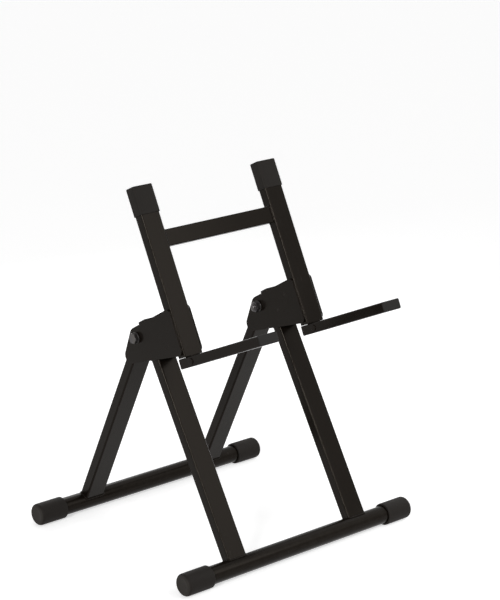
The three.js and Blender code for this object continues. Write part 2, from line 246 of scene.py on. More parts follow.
def frame_at(x: float, point: Point, turn: float) -> Matrix:
    """Local frame at an x and a side-view point, turned about +X by degrees."""
    return Matrix.Translation((x, *point)) @ Matrix.Rotation(math.radians(turn), 4, "X")


def outward(side: Side) -> Matrix:
    """Turn that points local +X outward on a side of the stand."""
    return Matrix.Rotation(math.pi if side.sign < 0 else 0, 4, "Z")


# -------------------------------------------------------------------------------- modelling


class Workbench:
    """Models one piece at a time with Blender's own operators."""

    @staticmethod
    def clear() -> None:
        """Leaves edit mode and deselects everything."""
        if bpy.context.object and bpy.context.object.mode != "OBJECT":
            bpy.ops.object.mode_set(mode="OBJECT")
        bpy.ops.object.select_all(action="DESELECT")

    @classmethod
    def only(cls, piece: Piece) -> None:
        """Makes one object the selected and active one.

        Args:
            piece: The object.
        """
        cls.clear()
        piece.select_set(True)
        bpy.context.view_layer.objects.active = piece

    @classmethod
    def freeze(cls, name: str | None = None) -> Piece:
        """Puts the active object's place into its mesh.

        Args:
            name: New name, the old one if left out.

        Returns:
            The object.
        """
        bpy.ops.object.transform_apply(location=True, rotation=True, scale=True)
        piece = bpy.context.object
        piece.name = name or piece.name
        return piece

    @classmethod
    def modify(cls, piece: Piece, kind: str, **settings: object) -> Piece:
        """Applies one modifier.

        Args:
            piece: Object to change.
            kind: Modifier's type.
            settings: Modifier's settings.

        Returns:
            The same object.
        """
        cls.only(piece)
        modifier = piece.modifiers.new(kind, kind)
        for key, value in settings.items():
            setattr(modifier, key, value)
        bpy.ops.object.modifier_apply(modifier=modifier.name)
        return piece

    @classmethod
    def block(cls, name: str, low: Sequence[float], high: Sequence[float]) -> Piece:
        """Box between two corners.

        Args:
            name: Name of the new object.
            low: Lowest corner.
            high: Highest corner.

        Returns:
            The box, its place in its mesh.
        """
        cls.clear()
        start, end = Vector(low), Vector(high)
        bpy.ops.mesh.primitive_cube_add(size=1, location=(start + end) / 2)
        bpy.context.object.scale = end - start
        return cls.freeze(name)

    @classmethod
    def rod(
        cls,
        name: str,
        radius: float,
        start: float,
        end: float,
        sides: int,
        point: Point = (0.0, 0.0),
    ) -> Piece:
        """Cylinder along X.

        Args:
            name: Name of the new object.
            radius: Radius.
            start: Where it starts along X.
            end: Where it ends along X.
            sides: Number of flats.
            point: Its y and z.

        Returns:
            The cylinder, its place in its mesh.
        """
        cls.clear()
        bpy.ops.mesh.primitive_cylinder_add(
            vertices=sides,
            radius=radius,
            depth=end - start,
            location=((start + end) / 2, *point),
            rotation=(0, QUARTER_TURN, 0),
        )
        return cls.freeze(name)

    @classmethod
    def edit(cls, piece: Piece, mode: str, action: str = "DESELECT") -> bmesh.types.BMesh:
        """Opens edit mode with nothing or everything selected.

        Args:
            piece: Object to edit.
            mode: Selection mode, "VERT", "EDGE" or "FACE".
            action: "DESELECT" for nothing, "SELECT" for everything.

        Returns:
            The mesh being edited.
        """
        cls.only(piece)
        bpy.ops.object.mode_set(mode="EDIT")
        bpy.ops.mesh.select_mode(type=mode)
        bpy.ops.mesh.select_all(action=action)
        return bmesh.from_edit_mesh(piece.data)

    @staticmethod
    def done() -> None:
        """Closes edit mode."""
        bpy.ops.object.mode_set(mode="OBJECT")

    @classmethod
    def pick(cls, piece: Piece, mode: str, test: Test) -> int:
        """Opens edit mode with some faces or edges selected.

        Args:
            piece: Object to edit.
            mode: "FACE" or "EDGE".
            test: Tells a wanted face by its middle and normal, or an edge by its two ends.

        Returns:
            How many were selected.
        """
        mesh = cls.edit(piece, mode)
        mesh.normal_update()
        if mode == "FACE":
            chosen = [f for f in mesh.faces if test(f.calc_center_median(), f.normal)]
        else:
            chosen = [e for e in mesh.edges if test(e.verts[0].co, e.verts[1].co)]
        for part in chosen:
            part.select_set(True)
        bmesh.update_edit_mesh(piece.data)
        return len(chosen)

    @classmethod
    def round_edges(cls, piece: Piece, radius: float, test: Test, segments: int = 5) -> None:
        """Rounds the edges that a test picks.

        Args:
            piece: Object to round.
            radius: Radius of the rounding.
            test: Tells a wanted edge by its two ends.
            segments: Steps round it.
        """
        if cls.pick(piece, "EDGE", test):
            bpy.ops.mesh.bevel(offset=radius, segments=segments, profile=0.5, clamp_overlap=True)
        cls.done()

    @classmethod
    def bore(cls, piece: Piece, axis: int, wall: float) -> Piece:
        """Makes a prism into a tube that is open at both ends.

        Args:
            piece: Object whose two end faces are flat.
            axis: 0 for X, 2 for Z: the axis of the tube.
            wall: Wall thickness.

        Returns:
            The same object.
        """
        cls.pick(piece, "FACE", lambda middle, normal: abs(normal[axis]) > SQUARE)
        bpy.ops.mesh.inset(thickness=wall, depth=0)
        bpy.ops.mesh.delete(type="FACE")
        mesh = bmesh.from_edit_mesh(piece.data)
        bpy.ops.mesh.select_mode(type="EDGE")
        for edge in mesh.edges:
            edge.select_set(len(edge.link_faces) == 1)
        bmesh.update_edit_mesh(piece.data)
        bpy.ops.mesh.bridge_edge_loops()
        bpy.ops.mesh.select_all(action="SELECT")
        bpy.ops.mesh.normals_make_consistent(inside=False)
        cls.done()
        return piece

    @classmethod
    def sink(cls, piece: Piece, axis: int, wall: float, depth: float) -> None:
        """Sinks a blind bore into the lower flat end of a prism.

        Args:
            piece: Object to hollow.
            axis: 0 for X, 2 for Z: the axis of the bore.
            wall: Wall thickness round the bore.
            depth: How deep the bore goes.
        """
        cls.pick(piece, "FACE", lambda middle, normal: normal[axis] < -SQUARE)
        bpy.ops.mesh.inset(thickness=wall, depth=0)
        cls.extrude(axis, depth)
        cls.done()

    @staticmethod
    def extrude(axis: int, distance: float) -> None:
        """Extrudes the selected faces along X (0) or Z (2), in edit mode."""
        step = tuple(distance if index == axis else 0.0 for index in range(3))
        bpy.ops.mesh.extrude_region_move(TRANSFORM_OT_translate={"value": step})

    @classmethod
    def combine(cls, piece: Piece, tool: Piece, how: str) -> Piece:
        """Cuts, joins or intersects a piece with a tool, which is then gone.

        Args:
            piece: Object that is kept.
            tool: Object that is used up.
            how: "DIFFERENCE", "UNION" or "INTERSECT".

        Returns:
            The kept object.
        """
        cls.modify(piece, "BOOLEAN", operation=how, solver="EXACT", object=tool)
        bpy.data.objects.remove(tool)
        return piece

    @classmethod
    def soften(cls, piece: Piece, width: float, segments: int = 2, angle: float = 40) -> Piece:
        """Breaks the sharp edges of a piece.

        Args:
            piece: Object to soften.
            width: Width of the rounding.
            segments: Steps round it.
            angle: Edges sharper than this, in degrees, are rounded.

        Returns:
            The same object.
        """
        return cls.modify(
            piece,
            "BEVEL",
            width=width,
            segments=segments,
            limit_method="ANGLE",
            angle_limit=math.radians(angle),
            use_clamp_overlap=True,
        )

    @classmethod
    def settle(cls, piece: Piece, place: Matrix) -> Piece:
        """Moves a piece from its local frame to the stand's, with its place in its mesh.

        Args:
            piece: Piece in its local frame.
            place: Its local frame.

        Returns:
            The piece.
        """
        cls.only(piece)
        piece.matrix_world = place
        return cls.freeze()

    @classmethod
    def shade(cls, piece: Piece, angle: float) -> None:
        """Smooths the round stretches and keeps the flat ones flat.

        Args:
            piece: Object to shade.
            angle: Edges sharper than this, in degrees, stay sharp.
        """
        cls.only(piece)
        bpy.ops.object.shade_smooth_by_angle(angle=math.radians(angle))
        cls.modify(piece, "WEIGHTED_NORMAL", keep_sharp=True, weight=80)

    @classmethod
    def bead(
        cls, name: str, path: Sequence[Vector], radius: float, pitch: float, closed: bool
    ) -> Piece:
        """Weld bead along a path, with the ripples of its overlapping pools.

        Args:
            name: Name of the new object.
            path: Points along the bead.
            radius: Radius of the bead.
            pitch: Distance from one ripple to the next.
            closed: Whether the path runs round to its start.

        Returns:
            The bead as a mesh.
        """
        cls.clear()
        points = list(resample(path, pitch / len(RIPPLE), closed))
        curve = bpy.data.curves.new(name, "CURVE")
        curve.dimensions = "3D"
        curve.bevel_depth = radius
        curve.bevel_resolution = 2
        curve.use_fill_caps = not closed
        spline = curve.splines.new("POLY")
        spline.points.add(len(points) - 1)
        for index, (knot, point) in enumerate(zip(spline.points, points)):
            knot.co = (*point, 1)
            knot.radius = RIPPLE[index % len(RIPPLE)]
        if not closed:
            spline.points[0].radius = spline.points[-1].radius = BEAD_END
        spline.use_cyclic_u = closed
        piece = bpy.data.objects.new(name, curve)
        bpy.context.scene.collection.objects.link(piece)
        cls.only(piece)
        bpy.ops.object.convert(target="MESH")
        piece = bpy.context.object
        cls.edit(piece, "VERT", "SELECT")
        bpy.ops.mesh.remove_doubles(threshold=1e-6)
        bpy.ops.mesh.normals_make_consistent(inside=False)
        cls.done()
        bpy.ops.object.shade_smooth()
        return piece

    @classmethod
    def join(cls, name: str, pieces: Sequence[Piece]) -> Piece:
        """Makes several meshes one object.

        Args:
            name: Name of the joined object.
            pieces: Objects to join; the first is kept.

        Returns:
            The joined object.
        """
        cls.only(pieces[0])
        for piece in pieces[1:]:
            piece.select_set(True)
        bpy.ops.object.join()
        pieces[0].name = name
        return pieces[0]

    @classmethod
    def hull(cls, name: str, pieces: Sequence[Piece]) -> Piece:
        """Convex hull of several meshes, which are used up, with its flat sides in one face.

        Args:
            name: Name of the hull.
            pieces: Objects to wrap.

        Returns:
            The hull.
        """
        hull = cls.join(name, pieces)
        cls.edit(hull, "VERT", "SELECT")
        bpy.ops.mesh.convex_hull()
        bpy.ops.mesh.select_all(action="SELECT")
        bpy.ops.mesh.dissolve_limited(angle_limit=math.radians(1.0))
        cls.done()
        return hull


def resample(path: Sequence[Vector], step: float, closed: bool) -> Iterator[Vector]:
    """Points at an even distance along a path.

    Args:
        path: Corners of the path.
        step: Distance between the new points, about.
        closed: Whether the path runs round to its start.

    Yields:
        Points along the path.
    """
    corners = [Vector(p) for p in path]
    if closed:
        corners.append(corners[0])
    lengths = [(b - a).length for a, b in zip(corners, corners[1:])]
    total = sum(lengths)
    count = max(3, round(total / step / 3) * 3)
    wanted = [total * i / count for i in range(count if closed else count + 1)]
    start = 0.0
    segment = 0
    for distance in wanted:
        while segment < len(lengths) - 1 and distance > start + lengths[segment]:
            start += lengths[segment]
            segment += 1
        share = (distance - start) / max(lengths[segment], 1e-9)
        yield corners[segment].lerp(corners[segment + 1], min(1.0, share))


def rounded_rectangle(width: float, depth: float, radius: float, steps: int = 6) -> list[Point]:
    """Corner-rounded rectangle round the origin.

    Args:
        width: Size along the first axis.
        depth: Size along the second axis.
        radius: Corner radius.
        steps: Steps round a corner.

    Returns:
        Its points, anticlockwise.
    """
    points = []
    for quarter, (across, up) in enumerate(((1, 1), (-1, 1), (-1, -1), (1, -1))):
        for step in range(steps + 1):
            angle = QUARTER_TURN * quarter + QUARTER_TURN * step / steps
            x = across * (width / 2 - radius) + radius * math.cos(angle)
            y = up * (depth / 2 - radius) + radius * math.sin(angle)
            points.append((x, y))
    return points


# ------------------------------------------------------------------------------- shader tools


class Wire:
    """A shader socket in arithmetic: an expression on wires adds its Math nodes."""

    def __init__(self, graph: Graph, socket: bpy.types.NodeSocket) -> None:
        """Wraps one output socket of a graph."""
        self.graph = graph
        self.socket = socket

    def _maths(self, operation: str, first: object, second: object) -> Wire:
        """Result of a Math node on two wires or numbers."""
        return self.graph.wire(0, "ShaderNodeMath", {"operation": operation}, {0: first, 1: second})

    def __add__(self, other: object) -> Wire:
        """Sum."""
        return self._maths("ADD", self, other)

    def __radd__(self, other: object) -> Wire:
        """Sum, number first."""
        return self._maths("ADD", other, self)

    def __sub__(self, other: object) -> Wire:
        """Difference."""
        return self._maths("SUBTRACT", self, other)

    def __rsub__(self, other: object) -> Wire:
        """Difference, number first."""
        return self._maths("SUBTRACT", other, self)

    def __mul__(self, other: object) -> Wire:
        """Product."""
        return self._maths("MULTIPLY", self, other)

    def __rmul__(self, other: object) -> Wire:
        """Product, number first."""
        return self._maths("MULTIPLY", other, self)

    def above(self, edge: float, softness: float) -> Wire:
        """Mask that rises from 0 to 1 round an edge value.

        Args:
            edge: Value at the middle of the rise.
            softness: Half the width of the rise.

        Returns:
            The mask.
        """
        inputs = {0: self, 1: edge - softness, 2: edge + softness, 3: 0.0, 4: 1.0}
        smooth = {"interpolation_type": "SMOOTHSTEP"}
        return self.graph.wire(0, "ShaderNodeMapRange", smooth, inputs)


class Graph:
    """A material's nodes."""

    def __init__(self, name: str) -> None:
        """Starts a material with a Principled shader.

        Args:
            name: Material's name.
        """
        self.material = bpy.data.materials.new(name)
        self.material.use_nodes = True
        self.tree = self.material.node_tree
        self.tree.nodes.clear()
        self.output = self.node("ShaderNodeOutputMaterial")
        self.shader = self.node("ShaderNodeBsdfPrincipled")
        self.put(self.output, "Surface", self.shader.outputs[0])
        self._place: Wire | None = None

    def put(self, node: bpy.types.Node, socket: int | str, value: object) -> None:
        """Links or sets one input socket of a node.

        Args:
            node: The node.
            socket: Index or name of its input.
            value: Wire or output socket to link, or a value to set.
        """
        source = value.socket if isinstance(value, Wire) else value
        if isinstance(source, bpy.types.NodeSocket):
            self.tree.links.new(source, node.inputs[socket])
        else:
            node.inputs[socket].default_value = source

    def node(
        self,
        kind: str,
        settings: dict[str, object] | None = None,
        inputs: dict[int | str, object] | None = None,
    ) -> bpy.types.Node:
        """Adds a node.

        Args:
            kind: Node type.
            settings: Attributes, which are set first.
            inputs: Socket index or name to a wire, socket or value.

        Returns:
            The node.
        """
        node = self.tree.nodes.new(kind)
        for key, value in (settings or {}).items():
            setattr(node, key, value)
        for key, value in (inputs or {}).items():
            self.put(node, key, value)
        return node

    def wire(self, output: int | str, kind: str, *parts: dict[int | str, object]) -> Wire:
        """One output, by index or name, of a new node with its settings and inputs."""
        return Wire(self, self.node(kind, *parts).outputs[output])

    def place(self) -> Wire:
        """Object coordinates.

        Returns:
            The place in the stand's frame, in metres, from one node.
        """
        if self._place is None:
            self._place = self.wire("Object", "ShaderNodeTexCoord")
        return self._place

    def along(self, axis: str) -> Wire:
        """Place along "X", "Y" or "Z" of the stand's frame at rest, in metres."""
        return self.wire(axis, "ShaderNodeSeparateXYZ", {}, {0: self.place()})

    def stretched(self, along: Sequence[float]) -> Wire:
        """Object coordinates scaled on X, Y and Z, for a pattern that is drawn out."""
        inputs = {"Vector": self.place(), "Scale": tuple(1 / s for s in along)}
        return self.wire(0, "ShaderNodeMapping", {"vector_type": "TEXTURE"}, inputs)

    def noise(
        self, scale: float, detail: float = 2.0, roughness: float = 0.5, place: Wire | None = None
    ) -> Wire:
        """Noise of a given scale.

        Args:
            scale: Cells a metre, about.
            detail: Octaves.
            roughness: Weight of the finer octaves.
            place: Coordinates, the object's own if left out.

        Returns:
            The noise, about 0.5 on average.
        """
        inputs = {"Scale": scale, "Detail": detail, "Roughness": roughness}
        inputs["Vector"] = place or self.place()
        return self.wire("Fac", "ShaderNodeTexNoise", {"noise_dimensions": "3D"}, inputs)

    def grains(self, scale: float) -> Wire:
        """Distance to the nearest of many scattered points, for moulded grain and specks."""
        inputs = {"Vector": self.place(), "Scale": scale}
        return self.wire("Distance", "ShaderNodeTexVoronoi", {"feature": "F1"}, inputs)

    def blend(self, mask: Wire, low: Triple | Wire, high: Triple | Wire) -> Wire:
        """Mix of two colours.

        Args:
            mask: 0 for the first colour, 1 for the second.
            low: First colour.
            high: Second colour.

        Returns:
            The mixed colour.
        """
        first, second = (c if isinstance(c, Wire) else (*c, 1) for c in (low, high))
        inputs = {0: mask, 6: first, 7: second}
        return self.wire(2, "ShaderNodeMix", {"data_type": "RGBA"}, inputs)

    def relief(self, height: Wire, depth: float, strength: float) -> None:
        """Bump on the shader's normal.

        Args:
            height: Height field from 0 to 1.
            depth: Depth of the relief, in metres.
            strength: Strength of the bump.
        """
        inputs = {"Strength": strength, "Distance": depth, "Height": height}
        self.feed("Normal", self.wire(0, "ShaderNodeBump", {}, inputs))

    def feed(self, socket: str, value: Wire | float | Sequence[float]) -> None:
        """Sets or links one socket of the shader."""
        self.put(self.shader, socket, value)

    def shown(self) -> Wire:
        """Rays that show a surface: straight, mirrored or through glass.

        Returns:
            Their mask.
        """
        path = self.node("ShaderNodeLightPath")
        rays = ("Is Camera Ray", "Is Glossy Ray", "Is Transmission Ray")
        straight, mirrored, through = (Wire(self, path.outputs[ray]) for ray in rays)
        return straight + mirrored + through


class WorldGraph(Graph):
    """The world's nodes."""

    def __init__(self, name: str) -> None:
        """Starts a world with an output.

        Args:
            name: World's name.
        """
        world = bpy.data.worlds.new(name)
        bpy.context.scene.world = world
        world.use_nodes = True
        self.tree = world.node_tree
        self.tree.nodes.clear()
        self.output = self.node("ShaderNodeOutputWorld")

    def background(self, level: float) -> bpy.types.NodeSocket:
        """White surroundings of a given level."""
        inputs = {"Color": (1, 1, 1, 1), "Strength": level}
        return self.node("ShaderNodeBackground", inputs=inputs).outputs[0]


# ----------------------------------------------------------------------------------- finishes


@dataclass(frozen=True)
class PowderCoat:
    """Satin black powder coat on steel: fine orange peel, faint dust low down, small scuffs."""

    name: str = "satin_black_powder_coat"
    dark: Triple = (0.0036, 0.0026, 0.0018)
    light: Triple = (0.0068, 0.0051, 0.0037)
    scuff: Triple = (0.050, 0.047, 0.044)
    dust: Triple = (0.055, 0.050, 0.044)
    gloss: float = 0.22
    peel_scale: float = 620.0
    peel_depth: float = 0.03 * MM
    specular: float = 0.09
    tint: Triple = (1.0, 0.88, 0.76)

    def material(self) -> bpy.types.Material:
        """Builds the material.

        Returns:
            The material.
        """
        graph = Graph(self.name)
        cloud = graph.noise(14.0, 3.0)
        mottle = graph.noise(210.0, 2.0, 0.6)
        base = graph.blend(cloud * 0.55 + mottle * 0.45, self.dark, self.light)
        streak = graph.noise(1.0, 2.0, 0.6, graph.stretched((900.0, 60.0, 60.0)))
        patch = graph.noise(22.0, 2.0)
        scuffed = streak.above(0.70, 0.04) * patch.above(0.60, 0.08)
        base = graph.blend(scuffed * 0.5, base, self.scuff)
        low = 1 - graph.along("Z").above(0.045, 0.040)
        settled = low * graph.noise(75.0, 3.0).above(0.55, 0.2)
        base = graph.blend(settled * 0.06, base, self.dust)
        graph.feed("Base Color", base)
        graph.feed(
            "Roughness", self.gloss + (cloud - 0.5) * 0.06 + (mottle - 0.5) * 0.05 + settled * 0.05
        )
        graph.feed("Specular IOR Level", self.specular)
        graph.feed("Specular Tint", (*self.tint, 1))
        peel = graph.noise(self.peel_scale, 2.0, 0.45) * 0.75 + graph.noise(1900.0, 1.0) * 0.25
        graph.relief(peel, self.peel_depth, 0.55)
        return graph.material


@dataclass(frozen=True)
class MouldedRubber:
    """Matte black rubber: fine moulded grain, dust, painted light on the rail caps' end faces and a
    worn underside.
    """

    name: str = "matte_black_rubber"
    dark: Triple = (0.0100, 0.0085, 0.0074)
    light: Triple = (0.0180, 0.0156, 0.0136)
    # colour of dust and wear, also used for the painted light on the cap ends
    dust: Triple = (0.070, 0.064, 0.057)
    # X past which the rail caps' end faces get painted light
    painted_light_end_x: float = 0.2615

    def material(self) -> bpy.types.Material:
        """Builds the material.

        Returns:
            The material.
        """
        graph = Graph(self.name)
        cloud = graph.noise(38.0, 3.0)
        fine = graph.noise(620.0, 2.0, 0.6)
        base = graph.blend(cloud * 0.6 + fine * 0.4, self.dark, self.light)
        low = 1 - graph.along("Z").above(0.0045, 0.0035)
        worn = low * graph.noise(160.0, 3.0).above(0.5, 0.25)
        base = graph.blend(worn * 0.6, base, self.dust)
        # painted light: the rail caps' end faces are lightened towards the dust colour, as if lit
        # from the side
        out = graph.along("X")
        painted_light_ends = (out * out).above(self.painted_light_end_x**2, self.painted_light_end_x * 0.0016)
        base = graph.blend(painted_light_ends * (0.16 + fine * 0.12), base, self.dust)
        dot = 1 - graph.grains(260.0).above(0.12, 0.05)
        base = graph.blend(dot * graph.noise(30.0, 2.0).above(0.6, 0.1) * 0.35, base, self.dust)
        graph.feed("Base Color", base)
        graph.feed("Roughness", 0.62 + (cloud - 0.5) * 0.14 + worn * 0.2)
        graph.feed("Specular IOR Level", 0.10)
        graph.relief(graph.grains(1500.0) * 0.6 + fine * 0.4, 0.06 * MM, 0.6)
        return graph.material


@dataclass(frozen=True)
class TexturedPlastic:
    """Black plastic of the plugs: fine spark-eroded texture."""

    name: str = "textured_black_plastic"
    dark: Triple = (0.0058, 0.0051, 0.0045)
    light: Triple = (0.0096, 0.0086, 0.0077)

    def material(self) -> bpy.types.Material:
        """Builds the material.

        Returns:
            The material.
        """
        graph = Graph(self.name)
        cloud = graph.noise(60.0, 2.0)
        texture = graph.noise(1300.0, 2.0, 0.7)
        graph.feed("Base Color", graph.blend(cloud * 0.5 + texture * 0.5, self.dark, self.light))
        graph.feed("Roughness", 0.48 + (texture - 0.5) * 0.2)
        graph.feed("Specular IOR Level", 0.14)
        graph.relief(texture, 0.05 * MM, 0.6)
        return graph.material


@dataclass(frozen=True)
class BlackZinc:
    """Black zinc plating on the fasteners: dull metal with a faint violet and brown cast."""

    name: str = "black_zinc_plating"
    cool: Triple = (0.060, 0.058, 0.068)
    warm: Triple = (0.098, 0.088, 0.076)
    worn: Triple = (0.42, 0.41, 0.39)

    def material(self) -> bpy.types.Material:
        """Builds the material.

        Returns:
            The material.
        """
        graph = Graph(self.name)
        cast = graph.noise(90.0, 3.0)
        fine = graph.noise(1100.0, 2.0, 0.6)
        base = graph.blend(cast, self.cool, self.warm)
        rubbed = graph.noise(420.0, 3.0, 0.7).above(0.68, 0.05)
        base = graph.blend(rubbed * 0.45, base, self.worn)
        graph.feed("Base Color", base)
        graph.feed("Metallic", 0.85 + (cast - 0.5) * 0.1)
        graph.feed("Roughness", 0.34 + (fine - 0.5) * 0.16 + (cast - 0.5) * 0.1)
        graph.relief(fine, 0.015 * MM, 0.4)
        return graph.material


@dataclass(frozen=True)
class TurnedSteel:
    """Plain turned steel of the bushes and spacers: tool rings and a film of grease."""

    name: str = "plain_turned_steel"
    bright: Triple = (0.56, 0.55, 0.53)
    greased: Triple = (0.20, 0.175, 0.14)

    def material(self) -> bpy.types.Material:
        """Builds the material.

        Returns:
            The material.
        """
        graph = Graph(self.name)
        rings = graph.noise(1.0, 2.0, 0.6, graph.stretched((6500.0, 40.0, 40.0)))
        film = graph.noise(160.0, 3.0).above(0.55, 0.15)
        graph.feed("Base Color", graph.blend(film * 0.6, self.bright, self.greased))
        graph.feed("Metallic", 1.0 - film * 0.35)
        graph.feed("Roughness", 0.28 + (rings - 0.5) * 0.22 + film * 0.12)
        graph.relief(rings, 0.012 * MM, 0.5)
        return graph.material


class Finishes:
    """All finishes of the stand, each made once."""

    def __init__(self) -> None:
        """Makes the materials."""
        coat = PowderCoat().material()
        self.weld_coat = PowderCoat(
            name="black_powder_coat_over_weld", gloss=0.18, peel_scale=760.0, peel_depth=0.07 * MM
        ).material()
        self.slots = {
            Slot.STEEL: coat,
            Slot.RUBBER: MouldedRubber().material(),
            Slot.PLASTIC: TexturedPlastic().material(),
            Slot.ZINC: BlackZinc().material(),
            Slot.BARE: TurnedSteel().material(),
        }


# ------------------------------------------------------------------------------ sub-assemblies


@dataclass
class SubAssembly:
    """What every sub-assembly of the stand shares."""

    sizes: StandSizes
    finishes: Finishes

    def dress(
        self,
        piece: Piece,
        slot: Slot,
        body: Body,
        *nodes: str,
        material: bpy.types.Material | None = None,
    ) -> None:
        """Gives a piece its material, from its slot unless one is given, puts it on its body and
        hides the CAD nodes that it replaces.

        Args:
            piece: Piece in its place.
            slot: Record slot that it takes its finish from.
            body: Body that it rides on.
            nodes: CAD nodes that it replaces.
            material: Material, the slot's own if left out.
        """
        piece.data.materials.clear()
        piece.data.materials.append(material or self.finishes.slots[slot])
        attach(piece, body.value)
        if nodes:
            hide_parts(*nodes)
        log.info("%s: %d faces", piece.name, len(piece.data.polygons))

    def finish(
        self, piece: Piece, place: Matrix, slot: Slot, body: Body, node: str, sharp: float = SHARP
    ) -> None:
        """Puts a modelled piece in its place, shades it and dresses it.

        Args:
            piece: Piece in its local frame.
            place: Its local frame.
            slot: Record slot that it takes its finish from.
            body: Body that it rides on.
            node: CAD node that it replaces.
            sharp: Edges sharper than this, in degrees, stay sharp.
        """
        Workbench.settle(piece, place)
        Workbench.shade(piece, sharp)
        self.dress(piece, slot, body, node)

    def weld(self, bead: Piece, place: Matrix, body: Body) -> None:
        """Puts a weld bead in its place and paints it."""
        Workbench.settle(bead, place)
        self.dress(bead, Slot.STEEL, body, material=self.finishes.weld_coat)

    def drill(self, piece: Piece, radius: float, reach: float, point: Point) -> None:
        """Drills along X, one seam wider than what goes through.

        Args:
            piece: Piece to drill.
            radius: Radius of what goes through.
            reach: Half the drill's length.
            point: The hole's y and z.
        """
        hole = radius + self.sizes.seam
        drill = Workbench.rod("drill", hole, -reach, reach, PIVOT_SIDES, point)
        Workbench.combine(piece, drill, "DIFFERENCE")

    def rectangular_tube(self, name: str, section: Triple, start: float, end: float) -> Piece:
        """Rectangular tube along local Z, open at both ends.

        Args:
            name: Name of the new object.
            section: Size along X, size along Y and outer corner radius.
            start: Lower end.
            end: Upper end.

        Returns:
            The tube in its local frame.
        """
        width, depth, corner = section
        low, high = (-width / 2, -depth / 2, start), (width / 2, depth / 2, end)
        tube = Workbench.block(name, low, high)
        Workbench.round_edges(tube, corner, lambda a, b: abs(a.z - b.z) > (end - start) / 2)
        return Workbench.bore(tube, 2, self.sizes.leg_wall)

    def leg_tube(self, name: str, top: float) -> Piece:
        """Leg along local Z, its foot saddled onto the rail at the origin.

        Args:
            name: Name of the new object.
            top: Upper end.

        Returns:
            The leg in its local frame.
        """
        s = self.sizes
        leg = self.rectangular_tube(name, s.leg_section(), s.rail_radius / 2, top)
        cut, wide = s.rail_radius + s.seam, s.leg_width
        saddle = Workbench.rod("saddle", cut, -wide, wide, RAIL_SIDES)
        return Workbench.combine(leg, saddle, "DIFFERENCE")

    def end_plug(self, name: str, section: Triple, base: float) -> Piece:
        """Plastic plug along local Z: an eased flush lid, its hollow skirt inside the tube.

        Args:
            name: Name of the new object.
            section: The tube's size along X, size along Y and corner radius.
            base: Underside of the lid, at the tube's end.

        Returns:
            The plug in its local frame.
        """
        s = self.sizes
        width, depth, corner = section
        top = base + s.plug_lid
        plug = Workbench.block(name, (-width / 2, -depth / 2, base), (width / 2, depth / 2, top))
        Workbench.round_edges(plug, corner, lambda a, b: abs(a.z - b.z) > s.plug_lid / 2)
        Workbench.round_edges(plug, s.plug_edge, lambda a, b: min(a.z, b.z) > top - NEAR, 4)
        Workbench.pick(plug, "FACE", lambda middle, normal: normal.z < -SQUARE)
        bpy.ops.mesh.inset(thickness=s.leg_wall + s.seam, depth=0)
        Workbench.extrude(2, -s.plug_skirt)
        bpy.ops.mesh.inset(thickness=s.plug_wall, depth=0)
        Workbench.extrude(2, s.plug_skirt)
        Workbench.done()
        return plug


